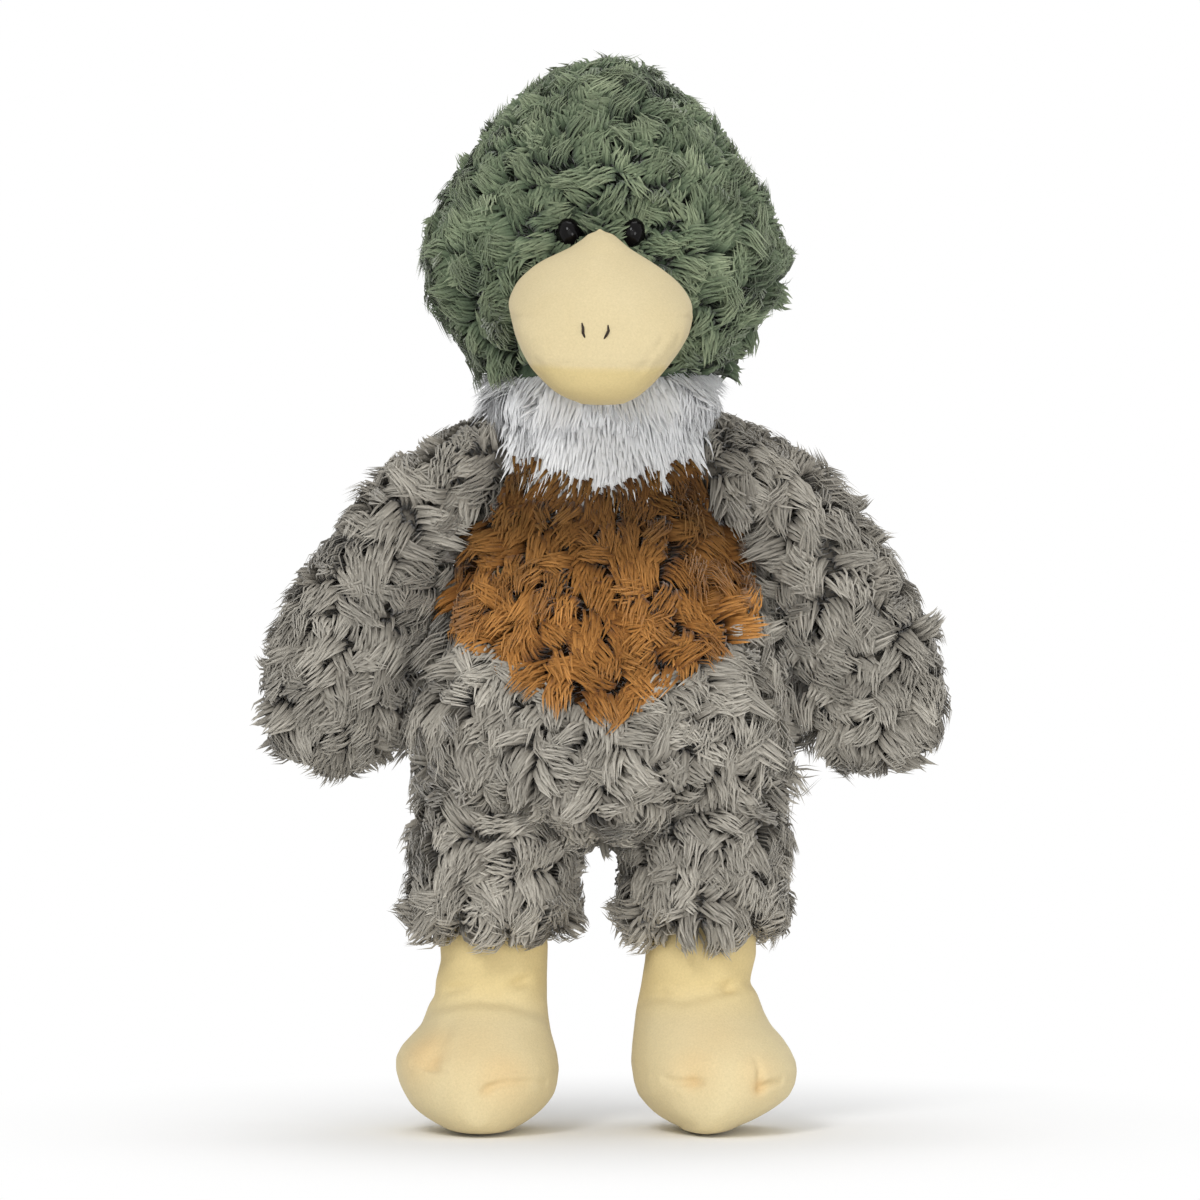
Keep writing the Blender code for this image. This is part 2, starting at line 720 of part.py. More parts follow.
def wing_surface(side, torso):
    """Rings between an outer and an inner edge: a round root, then the flat wing along the flank."""
    shoulder = shoulder_place(1)
    lean = math.radians(wing_axis_angle)
    ahead = Vector((math.cos(lean), 0, -math.sin(lean)))
    across = Vector((-math.sin(lean), 0, -math.cos(lean)))
    rows = []
    pole = shoulder - ahead * wing_root_radius
    rows.append((pole, pole, 0))
    for degrees in wing_root_degrees:
        turn = math.radians(degrees)
        middle = shoulder + ahead * wing_root_radius * math.sin(turn)
        girth = wing_root_radius * math.cos(turn)
        rows.append((middle - across * girth, middle + across * girth, girth))
    below = shoulder + Vector((0, 0, -wing_root_radius))
    out, down, girth = wing_root_shares
    beside = shoulder + Vector((wing_width * out, 0, -wing_drop * down))
    rows.append((beside, below, wing_root_radius * girth))
    insets = zip(wing_edge_shares, wing_thickness_shares, wing_foot_inset_shares)
    for (out, down, inner_down), thickness, foot_inset in insets:
        outer = shoulder + Vector((wing_width * out, 0, -wing_drop * down))
        height = shoulder.z - wing_drop * inner_down
        flank = torso(0, share_at(torso, height)).x + rest_gap + wing_width * foot_inset
        rows.append((outer, Vector((flank, 0, height)), wing_root_radius * thickness))
    tip_out, tip_down = wing_tip_shares
    tip = shoulder + Vector((wing_width * tip_out, 0, -wing_drop * tip_down))
    rows.append((tip, tip, 0))
    outers = [row[0] for row in rows]
    inners = [row[1] for row in rows]
    girths = [row[2] for row in rows]

    def point(turn, share):
        outer = smooth(outers, share)
        inner = smooth(inners, share)
        spot = (outer + inner) / 2 + (inner - outer) / 2 * math.cos(turn)
        spot.y = smooth(girths, share) * math.sin(turn)
        spot.x *= side
        return spot

    return point, len(rows) - 1


def mirrored(surface):
    """The same surface with its turns counted the other way, so that its normals point out again."""
    return lambda turn, share: surface(-turn, share)


def build_wings(paints, torso, torso_guard):
    for name, side in sides.items():
        surface, rows = wing_surface(side, torso)
        if side < 0:
            surface = mirrored(surface)
        shoulder = Pivot("shoulder_pivot_" + name, shoulder_place(side))
        wad = ball_mesh(shoulder_wad_radius, wad_columns, shoulder_place(side))
        build_object("shoulder_fill_" + name, wad, paints["stuffing"], shoulder)
        for first, last in ((-math.pi, 0), (0, math.pi)):
            turns = spread(first, last, wing_columns // 2)
            mesh = shell_mesh(surface, turns, bottom_edge, top_edge, rows, wing_pile_depth)
            faces_back = sum(vertex.co.y for vertex in mesh.verts) > 0
            shift = (0, seam_gap / 2 if faces_back else -seam_gap / 2, 0)
            label = "wing_" + ("back_" if faces_back else "front_") + name
            panel = build_object(label, mesh, paints["taupe_fur"], shoulder, shift)
            cut(panel, torso_guard)
        mesh = solid_mesh(surface, wing_columns, rows, wing_pile_depth + fill_gap)
        fill = build_object("wing_fill_" + name, mesh, paints["stuffing"], shoulder)
        room = ball_mesh(shoulder_wad_radius + wad_gap, wad_columns, shoulder_place(side))
        socket = build_object("shoulder_socket_" + name, room, None)
        half = bmesh.new()
        reach = 2 * wing_root_radius
        lean = math.radians(wing_axis_angle)
        ahead = Vector((side * math.cos(lean), 0, -math.sin(lean)))
        turned = Vector((0, 0, 1)).rotation_difference(ahead).to_matrix().to_4x4()
        middle = shoulder_place(side) - ahead * (reach / 2 - wad_gap)
        size = Matrix.Diagonal((reach, reach, reach, 1))
        bmesh.ops.create_cube(half, size=1, matrix=Matrix.Translation(middle) @ turned @ size)
        behind = build_object("shoulder_room_" + name, half, None)
        cut(fill, socket, behind)


def build_cutters():
    """The hollows that the wings, legs and neck turn in."""
    shoulders = []
    hips = []
    for name, side in sides.items():
        radius = wing_root_radius + joint_gap
        bowl = arc(radius, -quarter_turn, 0, ball_steps)
        bowl[0] = (0, -radius)
        wide = radius + shoulder_flare
        profile = bowl + [(wide, shoulder_flare), (wide, wing_width), (0, wing_width)]
        mesh = lathe_mesh(profile, hollow_columns, shoulder_place(side), (side, 0, 0))
        shoulders.append(build_object("shoulder_hollow_" + name, mesh, None))
        hips.append(build_object("hip_hollow_" + name, leg_sweep_mesh(side), None))
    radius = neck_wad_radius + fill_gap
    top = neck_rim + neck_radius
    profile = arc(radius, -quarter_turn, 0, ball_steps, neck_pivot.z) + [(radius, top), (0, top)]
    pocket = build_object("neck_pocket", lathe_mesh(profile, hollow_columns), None)
    cup = build_object("neck_cup", ball_mesh(cup_radius, cup_columns, neck_pivot), None)
    return {"shoulders": shoulders, "hips": hips, "neck_pocket": pocket, "cup": cup}


def hip_place(side):
    return Vector((stance_shift + side * hip_spacing / 2, 0, hip_height))


def leg_sweep_mesh(side):
    """All the room that a trouser leg takes as it swings from its back limit to its front limit."""
    hip = hip_place(side)
    radius = trouser_radius + joint_gap
    reach = trouser_radius + hip_height
    forward = math.radians(leg_forward_angle)
    backward = math.radians(leg_back_angle)
    ahead = Vector((0, -math.sin(forward), -math.cos(forward))) * reach
    behind = Vector((0, math.sin(backward), -math.cos(backward))) * reach
    mesh = bmesh.new()
    slices = []
    first = math.radians(sweep_end_angle)
    for turn in spread(first, math.pi - first, sweep_slices):
        across = Vector((-radius * math.cos(turn), 0, 0))
        girth = radius * math.sin(turn)
        outline = []
        for angle in spread(backward, math.pi - forward, sweep_steps):
            outline.append(Vector((0, math.cos(angle), math.sin(angle))) * girth)
        outline = [outline[0] + behind] + outline + [outline[-1] + ahead]
        slices.append([mesh.verts.new(hip + across + spot) for spot in outline])
    count = len(slices[0])
    for near, far in zip(slices, slices[1:]):
        for index in range(count):
            following = (index + 1) % count
            mesh.faces.new((near[index], near[following], far[following], far[index]))
    mesh.faces.new(slices[0])
    mesh.faces.new(tuple(reversed(slices[-1])))
    return mesh


def build_leg(paints, name, side):
    hip = hip_place(side)
    pivot = Pivot("hip_pivot_" + name, hip)
    inner = trouser_radius - pile_depth
    outer_side = arc(trouser_radius, 0, quarter_turn, ball_steps)
    hem = -hem_drop
    skin = [(inner, hem), (trouser_radius - trouser_flare, hem), (trouser_radius + trouser_flare, hem / 2)]
    skin += outer_side + arc(inner, quarter_turn, 0, ball_steps)
    build_object("leg_skin_" + name, lathe_mesh(skin, leg_columns, hip), paints["taupe_fur"], pivot)
    wad = inner - fill_gap
    socket = ankle_radius + joint_gap
    drop = -ankle_drop
    rim = drop + socket * math.sin(math.radians(ankle_rim_angle))
    fill = arc(socket, quarter_turn, ankle_rim_angle, ball_steps, drop) + [(wad, rim)]
    fill += arc(wad, 0, quarter_turn, ball_steps)
    build_object("leg_fill_" + name, lathe_mesh(fill, leg_columns, hip), paints["stuffing"], pivot)
    return pivot


def foot_surface(name, side):
    """A rounded shoe-like foot that rises into a round ankle and ends in its ball."""
    ankle = Vector((stance_shift + side * hip_spacing / 2, 0, ankle_height))
    yaw = Matrix.Rotation(side * math.radians(toe_out_angles[name]), 3, "Z")
    forward = -foot_length * foot_forward_share
    out = side * foot_outset
    rows = [
        (0, 0, 0, 0, out, forward),
        (0, sole_width / 4, sole_length / 4, sole_length / 4, out, forward),
        (0, sole_width / 2, sole_length / 2, sole_length / 2, out, forward),
    ]
    for height, width, length, ahead, outset in foot_shares:
        half = foot_length / 2 * length
        rows.append(
            (foot_height * height, foot_width / 2 * width, half, half, out * outset, forward * ahead)
        )
    rows.append((ankle_height, ankle_radius, ankle_radius, ankle_radius, 0, 0))
    for degrees in ankle_degrees:
        reach = ankle_radius * math.cos(math.radians(degrees))
        rise = ankle_radius * math.sin(math.radians(degrees))
        rows.append((ankle_height + rise, reach, reach, reach, 0, 0))
    rows.append((ankle_height + ankle_radius, 0, 0, 0, 0, 0))
    rings = ring_surface(rows)
    dents = []
    for sign in (-1, 1):
        dents.append(Vector((out + sign * toe_dent_spacing / 2, 0, toe_dent_height)))

    def point(turn, share):
        spot = rings(turn, share)
        for dent in dents:
            distance = math.hypot(spot.x - dent.x, spot.z - dent.z) / toe_dent_radius
            if spot.y < forward:
                spot.y += toe_dent_depth * math.exp(-distance * distance)
        spot.z = max(spot.z, 0)
        turned = yaw @ spot
        return Vector((turned.x + ankle.x, turned.y, turned.z))

    return point, len(rows) - 1


def build_foot(paints, name, side, hip):
    surface, rows = foot_surface(name, side)
    ankle = Vector((stance_shift + side * hip_spacing / 2, 0, ankle_height))
    pivot = Pivot("ankle_pivot_" + name, ankle, hip)
    turns = spread(-math.pi, math.pi, foot_columns)[:-1]
    sole_row = 2 / rows
    seam = share_at(surface, sole_seam_height, sole_row)
    gap = share_at(surface, sole_seam_height + seam_gap, sole_row)

    def sole_edge(turn):
        return seam

    def upper_edge(turn):
        return gap

    sole_mesh = shell_mesh(surface, turns, bottom_edge, sole_edge, sole_rows, velour_thickness, full=True)
    upper_mesh = shell_mesh(surface, turns, upper_edge, top_edge, foot_upper_rows, velour_thickness, full=True)
    build_object("foot_sole_" + name, sole_mesh, paints["foot_velour"], pivot)
    build_object("foot_upper_" + name, upper_mesh, paints["foot_velour"], pivot)
    fill_mesh = solid_mesh(surface, foot_columns, rows, velour_thickness + foot_fill_gap)
    build_object("foot_fill_" + name, fill_mesh, paints["stuffing"], pivot)


def guard(name, surface, columns, rows, *cutters):
    """A body slightly larger than the real one, which its neighbours are cut to."""
    made = build_object(name, solid_mesh(surface, columns, rows, -guard_gap), None)
    cut(made, *cutters)
    return made


def build_duck():
    for thing in list(bpy.data.objects):
        bpy.data.objects.remove(thing, do_unlink=True)
    paints = {
        "taupe_fur": material("taupe_curly_fur", (0.27, 0.25, 0.22), 0.95),
        "chest_fur": material("golden_chest_fur", (0.42, 0.27, 0.13), 0.95),
        "white_fur": material("white_collar_fur", (0.86, 0.88, 0.90), 0.95),
        "green_fur": material("green_curly_fur", (0.11, 0.16, 0.11), 0.95),
        "beak_velour": material("cream_beak_velour", (0.82, 0.66, 0.45), 0.85),
        "foot_velour": material("cream_foot_velour", (0.82, 0.68, 0.48), 0.85),
        "eye_black": material("glossy_black_eye", (0.012, 0.011, 0.010), 0.08),
        "washer_white": material("white_washer_plastic", (0.80, 0.80, 0.78), 0.5),
        "thread": material("dark_brown_thread", (0.05, 0.035, 0.025), 0.8),
        "stuffing": material("white_fibre_stuffing", (0.88, 0.88, 0.86), 1.0),
    }
    torso = torso_surface()
    head = head_surface()
    cutters = build_cutters()
    torso_guard = guard("torso_guard", torso, body_columns, body_guard_rows, *cutters["shoulders"])
    head_guard = guard("head_guard", head, body_columns, head_rows)
    build_torso(paints, cutters)
    build_tail(paints, torso_guard)
    neck = build_neck_wad(paints)
    pockets = build_eyes(paints, head, neck)
    build_head(paints, head, neck, pockets, cutters["cup"])
    beak = build_beak(paints, neck, head_guard)
    build_nostrils(paints, beak, neck)
    build_wings(paints, torso, torso_guard)
    for name, side in sides.items():
        hip = build_leg(paints, name, side)
        build_foot(paints, name, side, hip)


build_duck()
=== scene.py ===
import json
import math

import bmesh
import bpy
import numpy as np
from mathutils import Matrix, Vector
from mathutils.bvhtree import BVHTree
from mathutils.noise import noise


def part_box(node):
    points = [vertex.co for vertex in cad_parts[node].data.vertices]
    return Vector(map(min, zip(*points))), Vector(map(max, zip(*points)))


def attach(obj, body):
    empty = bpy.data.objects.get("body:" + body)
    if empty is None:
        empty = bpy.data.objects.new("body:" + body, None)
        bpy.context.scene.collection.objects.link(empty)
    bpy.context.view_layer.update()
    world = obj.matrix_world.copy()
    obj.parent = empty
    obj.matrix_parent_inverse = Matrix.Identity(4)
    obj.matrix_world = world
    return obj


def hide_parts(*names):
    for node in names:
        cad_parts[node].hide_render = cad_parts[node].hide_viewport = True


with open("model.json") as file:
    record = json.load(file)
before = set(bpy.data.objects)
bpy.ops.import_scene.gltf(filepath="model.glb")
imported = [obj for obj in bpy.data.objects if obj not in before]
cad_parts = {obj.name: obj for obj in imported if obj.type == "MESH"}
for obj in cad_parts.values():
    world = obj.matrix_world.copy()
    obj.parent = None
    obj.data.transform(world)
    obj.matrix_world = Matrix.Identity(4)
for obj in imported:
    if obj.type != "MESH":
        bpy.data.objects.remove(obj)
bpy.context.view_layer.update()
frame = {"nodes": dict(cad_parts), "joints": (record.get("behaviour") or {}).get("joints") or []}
nodes = frame["nodes"]
jointPlace = {joint["name"]: Vector(joint["pos_m"]) for joint in frame["joints"]}
neckPivot = jointPlace["head_turn"]
middleY = neckPivot.y  # the duck's upright axis stands at this depth
sides = {"left": 1, "right": -1}
shoulders = {name: jointPlace["wing_lift_" + name] for name in sides}
hips = {name: jointPlace["leg_swing_" + name] for name in sides}
ankles = {name: jointPlace["foot_tilt_" + name] for name in sides}


def clamped(value, low=0.0, high=1.0):
    return min(high, max(low, value))


def risen(value, start, span):
    # 0 up to the start, 1 a span past it
    return clamped((value - start) / span)


def hump(value, middle, width):
    return math.exp(-((value - middle) / width) ** 2)


# node helpers

def plug(tree, node, name, value):
    socket = node.inputs[name] if isinstance(name, int) else next(
        found for found in node.inputs if found.name == name and found.enabled
    )
    if isinstance(value, bpy.types.NodeSocket):
        tree.links.new(value, socket)
    else:
        socket.default_value = value


def put(tree, kind, values=None, **settings):
    node = tree.nodes.new(kind)
    for name, value in settings.items():
        setattr(node, name, value)
    for name, value in (values or {}).items():
        plug(tree, node, name, value)
    return node


def result(node, name=None):
    return next(found for found in node.outputs if found.enabled and name in (None, found.name))


def vectorMath(tree, operation, first, second=None, scale=None):
    values = {0: first}
    if second is not None:
        values[1] = second
    if scale is not None:
        values["Scale"] = scale
    return result(put(tree, "ShaderNodeVectorMath", values, operation=operation))


def numberMath(tree, operation, first, second=None, third=None):
    values = {0: first}
    if second is not None:
        values[1] = second
    if third is not None:
        values[2] = third
    return result(put(tree, "ShaderNodeMath", values, operation=operation))


def partsOf(tree, vector):
    return put(tree, "ShaderNodeSeparateXYZ", {0: vector}).outputs


def newTree(name, kind, inputs, outputs):
    tree = bpy.data.node_groups.new(name, kind)
    identifiers = {}
    for label, socketType, value in inputs:
        socket = tree.interface.new_socket(label, in_out="INPUT", socket_type=socketType)
        if value is not None:
            socket.default_value = value
        identifiers[label] = socket.identifier
    for label, socketType in outputs:
        tree.interface.new_socket(label, in_out="OUTPUT", socket_type=socketType)
    return tree, identifiers


# fur: tufts of curved strands

furSizes = (
    "Density", "Tuft Gap", "Length", "Lean", "Lean Change", "Rise", "Curl", "Spread", "Spread Change",
    "Jitter", "Whorl Size", "Whorl", "Scatter", "Width", "Thickness",
)


def makeFurTree():
    # growFur gives every input its value
    tree, identifiers = newTree("growFur", "GeometryNodeTree", [
        ("Geometry", "NodeSocketGeometry", None),
        *[(label, "NodeSocketFloat", None) for label in furSizes],
        ("Segments", "NodeSocketInt", None),
        ("Seed", "NodeSocketInt", None),
        ("Material", "NodeSocketMaterial", None),
    ], [("Geometry", "NodeSocketGeometry")])
    tree.is_modifier = True
    given = put(tree, "NodeGroupInput")

    def asked(name):
        return result(given, name)

    def named(name, kind="FLOAT_VECTOR"):
        found = put(tree, "GeometryNodeInputNamedAttribute", {"Name": name}, data_type=kind)
        return result(found, "Attribute")

    def stored(geometry, name, value, kind="FLOAT_VECTOR", domain="POINT"):
        values = {"Geometry": geometry, "Name": name, "Value": value}
        return result(put(tree, "GeometryNodeStoreNamedAttribute", values, data_type=kind, domain=domain))

    def added(first, second):
        return vectorMath(tree, "ADD", first, second)

    def taken(first, second):
        return vectorMath(tree, "SUBTRACT", first, second)

    def scaled(vector, size):
        return vectorMath(tree, "SCALE", vector, scale=size)

    def crossed(first, second):
        return vectorMath(tree, "CROSS_PRODUCT", first, second)

    def unit(vector):
        return vectorMath(tree, "NORMALIZE", vector)

    def times(first, second):
        return numberMath(tree, "MULTIPLY", first, second)

    def plus(first, second):
        return numberMath(tree, "ADD", first, second)

    def mixed(share, first, second):
        values = {"Factor": share, "A": first, "B": second}
        return result(put(tree, "ShaderNodeMix", values, data_type="VECTOR"))

    def randomVector(size, seed):
        values = {0: (-1, -1, -1), 1: (1, 1, 1), "Seed": plus(asked("Seed"), seed)}
        return scaled(result(put(tree, "FunctionNodeRandomValue", values, data_type="FLOAT_VECTOR")), size)

    def randomNumber(low, high, seed):
        values = {2: low, 3: high, "Seed": plus(asked("Seed"), seed)}
        return result(put(tree, "FunctionNodeRandomValue", values, data_type="FLOAT"))

    def varied(name, seed):
        # a size and its change from tuft to tuft
        return plus(asked(name), times(randomNumber(-1.0, 1.0, seed), asked(name + " Change")))

    position = result(put(tree, "GeometryNodeInputPosition"))
    mask = named("mask", "FLOAT")
    longer = named("reach", "FLOAT")

    # one point for each tuft, with the place that its tips lean to
    scatterTufts = put(tree, "GeometryNodeDistributePointsOnFaces", {
        "Mesh": asked("Geometry"),
        "Distance Min": asked("Tuft Gap"),
        "Density Max": numberMath(tree, "DIVIDE", 2.5, numberMath(tree, "POWER", asked("Tuft Gap"), 2.0)),
        "Density Factor": mask,
        "Seed": asked("Seed"),
    }, distribute_method="POISSON")
    normal = result(scatterTufts, "Normal")
    turbulence = put(tree, "ShaderNodeTexNoise", {
        "Vector": position, "Scale": numberMath(tree, "DIVIDE", 1.0, asked("Whorl Size")), "Detail": 1.0,
    }, noise_dimensions="3D")
    swirl = taken(result(turbulence, "Color"), (0.5, 0.5, 0.5))
    wanted = added(named("comb"), scaled(swirl, times(asked("Whorl"), 4.0)))
    wanted = added(wanted, randomVector(asked("Scatter"), 11))
    upright = scaled(normal, vectorMath(tree, "DOT_PRODUCT", wanted, normal))
    lay = unit(taken(wanted, upright))
    lean = varied("Lean", 12)
    reach = times(times(asked("Length"), randomNumber(0.78, 1.15, 13)), longer)
    direction = added(
        scaled(lay, numberMath(tree, "SINE", lean)), scaled(normal, numberMath(tree, "COSINE", lean)))
    tufts = stored(result(scatterTufts, "Points"), "tuftTip", added(position, scaled(direction, reach)))
    tufts = stored(tufts, "tuftSpread", varied("Spread", 14), "FLOAT")
    sideways = times(reach, times(asked("Curl"), randomNumber(-1.0, 1.0, 16)))
    tufts = stored(tufts, "tuftCurl", scaled(crossed(normal, lay), sideways))
    tufts = stored(tufts, "tuftTone", randomNumber(0.0, 1.0, 15), "FLOAT")

    # strands, each drawn to its nearest tuft's tip
    scatterStrands = put(tree, "GeometryNodeDistributePointsOnFaces", {
        "Mesh": asked("Geometry"),
        "Density": times(asked("Density"), mask),
        "Seed": plus(asked("Seed"), 1.0),
    }, distribute_method="RANDOM")
    nearest = result(put(tree, "GeometryNodeSampleNearest", {
        "Geometry": tufts,
        "Sample Position": added(position, randomVector(times(asked("Tuft Gap"), 0.28), 21)),
    }, domain="POINT"))

    def fromTuft(value, kind="FLOAT_VECTOR"):
        values = {"Geometry": tufts, "Value": value, "Index": nearest}
        return result(put(tree, "GeometryNodeSampleIndex", values, data_type=kind, domain="POINT"))

    away = scaled(taken(position, fromTuft(position)), fromTuft(named("tuftSpread", "FLOAT"), "FLOAT"))
    end = added(added(fromTuft(named("tuftTip")), away), randomVector(asked("Jitter"), 22))
    end = added(position, scaled(taken(end, position), randomNumber(0.75, 1.1, 23)))
    height = times(times(asked("Length"), asked("Rise")), longer)
    bend = added(position, scaled(result(scatterStrands, "Normal"), height))
    bend = added(bend, fromTuft(named("tuftCurl")))
    bend = added(bend, randomVector(asked("Jitter"), 25))
    tone = plus(times(fromTuft(named("tuftTone", "FLOAT"), "FLOAT"), 0.68), randomNumber(0.0, 0.32, 24))
    strands = stored(result(scatterStrands, "Points"), "furRoot", position)
    strands = stored(strands, "furBend", bend)
    strands = stored(strands, "furEnd", end)
    strands = stored(strands, "furTone", tone, "FLOAT")

    # a three-sided cone for each strand, with its long edges sharp
    cone = put(tree, "GeometryNodeMeshCone", {
        "Vertices": 3, "Side Segments": asked("Segments"),
        "Radius Top": 0.0, "Radius Bottom": 1.0, "Depth": 1.0,
    }, fill_type="NGON")
    ends = put(tree, "GeometryNodeInputMeshEdgeVertices")
    slope = partsOf(tree, taken(result(ends, "Position 1"), result(ends, "Position 2")))[2]
    lengthwise = numberMath(tree, "GREATER_THAN", numberMath(tree, "ABSOLUTE", slope), 0.01)
    strand = result(put(tree, "GeometryNodeSetShadeSmooth", {
        0: result(cone, "Mesh"), "Selection": lengthwise, "Shade Smooth": False}, domain="EDGE"))
    placed = put(tree, "GeometryNodeInstanceOnPoints", {"Points": strands, "Instance": strand})
    whole = result(put(tree, "GeometryNodeRealizeInstances", {"Geometry": result(placed)}))

    # every vertex moves from the straight cone to its strand's curve
    root, bent, last = named("furRoot"), named("furBend"), named("furEnd")
    parts = partsOf(tree, taken(position, root))
    across, over, share = parts[0], parts[1], parts[2]
    first, second = mixed(share, root, bent), mixed(share, bent, last)
    beside = unit(crossed(taken(bent, root), taken(last, root)))
    above = unit(crossed(beside, unit(taken(second, first))))
    fullness = numberMath(tree, "MULTIPLY_ADD", share, 1.5, 1.0)
    place = added(
        mixed(share, first, second), scaled(beside, times(times(across, asked("Width")), fullness)))
    place = added(place, scaled(above, times(times(over, asked("Thickness")), fullness)))
    # the chart: u is the strand's tone, v the way along it
    toneHere = numberMath(tree, "MULTIPLY_ADD", across, 0.004, numberMath(
        tree, "MULTIPLY_ADD", named("furTone", "FLOAT"), 0.94, 0.03))
    shareHere = numberMath(tree, "MULTIPLY_ADD", over, 0.004, numberMath(
        tree, "MULTIPLY_ADD", share, 0.94, 0.03))
    chart = result(put(tree, "ShaderNodeCombineXYZ", {"X": toneHere, "Y": shareHere}))
    whole = stored(whole, "furChart", chart)
    whole = result(put(tree, "GeometryNodeSetPosition", {"Geometry": whole, "Position": place}))
    whole = stored(whole, "OFBake", named("furChart"), "FLOAT2", "CORNER")
    whole = result(put(tree, "GeometryNodeSetShadeSmooth", {"Geometry": whole}))
    whole = result(put(tree, "GeometryNodeSetMaterial", {"Geometry": whole, "Material": asked("Material")}))
    for name in ("furRoot", "furBend", "furEnd", "furTone", "furChart"):
        whole = result(put(tree, "GeometryNodeRemoveAttribute", {"Geometry": whole, "Name": name}))
    put(tree, "NodeGroupOutput", {"Geometry": whole})
    return tree, identifiers


furTree, furInputs = makeFurTree()


# meshes from CAD nodes

def linked(name, data):
    made = bpy.data.objects.new(name, data)
    bpy.context.scene.collection.objects.link(made)
    return made


def asObject(name, mesh):
    data = bpy.data.meshes.new(name)
    mesh.to_mesh(data)
    mesh.free()
    data.shade_smooth()
    return linked(name, data)


def applied(piece):
    # the piece's mesh with its modifiers worked in
    return bpy.data.meshes.new_from_object(piece.evaluated_get(bpy.context.evaluated_depsgraph_get()))


def meshOf(names):
    mesh = bmesh.new()
    for name in names:
        mesh.from_mesh(nodes[name].data)
    bmesh.ops.remove_doubles(mesh, verts=mesh.verts, dist=1e-6)
    return mesh


def treeOf(mesh):
    found = BVHTree.FromBMesh(mesh)
    mesh.free()
    return found


def treeOfPiece(piece):
    mesh = bmesh.new()
    mesh.from_mesh(piece.data)
    return treeOf(mesh)


def keepOuter(mesh):
    # only the largest connected skin stays
    left = set(mesh.verts)
    groups = []
    while left:
        start = left.pop()
        group, queue = {start}, [start]
        while queue:
            for edge in queue.pop().link_edges:
                for vertex in edge.verts:
                    if vertex in left:
                        left.discard(vertex)
                        group.add(vertex)
                        queue.append(vertex)
        groups.append(group)
    groups.sort(key=len)
    doomed = [vertex for group in groups[:-1] for vertex in group]
    bmesh.ops.delete(mesh, geom=doomed, context="VERTS")


def remeshed(names, voxel):
    # one closed skin round several nodes
    mesh = meshOf(names)
    data = bpy.data.meshes.new("joined")
    mesh.to_mesh(data)
    mesh.free()
    rough = linked("joined", data)
    change = rough.modifiers.new("voxels", "REMESH")
    change.mode = "VOXEL"
    change.voxel_size = voxel
    made = applied(rough)
    bpy.data.objects.remove(rough)
    bpy.data.meshes.remove(data)
    mesh = bmesh.new()
    mesh.from_mesh(made)
    bpy.data.meshes.remove(made)
    keepOuter(mesh)
    return mesh


def relaxed(mesh, times):
    for _ in range(times):
        bmesh.ops.smooth_vert(
            mesh, verts=mesh.verts, factor=0.5, use_axis_x=True, use_axis_y=True, use_axis_z=True)


def takenIn(mesh, relaxing, depth, keptAt=None):
    # a relaxed skin, taken in by a depth except where it is kept
    relaxed(mesh, relaxing)
    mesh.normal_update()
    for vertex in mesh.verts:
        if not (keptAt and keptAt(vertex.co)):
            vertex.co -= vertex.normal * depth


def makeCore(name, names, voxel, depth, hollowAt):
    # the stuffed form under the pile: the CAD outline, taken in by the pile's depth except inside hollows
    mesh = remeshed(names, voxel)
    takenIn(mesh, 4, depth, hollowAt)
    relaxed(mesh, 3)
    return asObject(name, mesh)


def ride(made, body, slot, replaced=()):
    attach(made, body)
    if replaced:
        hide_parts(*replaced)
    return made


furPieces = []


def growFur(name, core, look, maskAt, combAt, reachAt, body, slot, replaced):
    # strands on the part of a core that the mask keeps
    pelt = core.data.copy()
    points = [(vertex.co.copy(), vertex.normal.copy()) for vertex in pelt.vertices]
    values = {
        "mask": [maskAt(place, normal) for place, normal in points],
        "reach": [reachAt(place) for place, _ in points],
    }
    for label, found in values.items():
        pelt.attributes.new(label, "FLOAT", "POINT").data.foreach_set("value", found)
    combs = np.array([combAt(place, normal) for place, normal in points], np.float32)
    pelt.attributes.new("comb", "FLOAT_VECTOR", "POINT").data.foreach_set("vector", combs.ravel())
    grower = linked(name, pelt)
    change = grower.modifiers.new("fur", "NODES")
    change.node_group = furTree
    seed = len(furPieces) * 17 + 3
    chosen = dict(look, seed=seed, width=look["width"] / 2, thickness=look["thickness"] / 2)
    for label, identifier in furInputs.items():
        if label != "Geometry":
            change[identifier] = chosen[label[0].lower() + label[1:].replace(" ", "")]
    strands = applied(grower)
    bpy.data.objects.remove(grower)
    bpy.data.meshes.remove(pelt)
    strands.name = name
    triangles = sum(len(face.vertices) - 2 for face in strands.polygons)
    print("fur", name, "triangles", triangles, "from", len(points), "points")
    furPieces.append(ride(linked(name, strands), body, slot, replaced))


# materials

def newMaterial(name, values):
    made = bpy.data.materials.new(name)
    made.use_nodes = True
    shader = made.node_tree.nodes["Principled BSDF"]
    for label, value in values.items():
        shader.inputs[label].default_value = value
    return made, made.node_tree, shader


def objectPlace(tree):
    return put(tree, "ShaderNodeTexCoord").outputs["Object"]


def noiseAt(tree, place, scale, detail, **more):
    values = {"Vector": place, "Scale": scale, "Detail": detail, **more}
    return result(put(tree, "ShaderNodeTexNoise", values), "Fac")


def mapRange(tree, value, start, end, low, high, **settings):
    values = {"Value": value, "From Min": start, "From Max": end, "To Min": low, "To Max": high}
    return result(put(tree, "ShaderNodeMapRange", values, **settings))


def ramp(tree, factor, stops):
    node = put(tree, "ShaderNodeValToRGB", {"Fac": factor})
    elements = node.color_ramp.elements
    while len(elements) < len(stops):
        elements.new(0.5)
    for element, (place, colour) in zip(elements, stops):
        element.position = place
        element.color = (*colour, 1)
    return result(node, "Color")


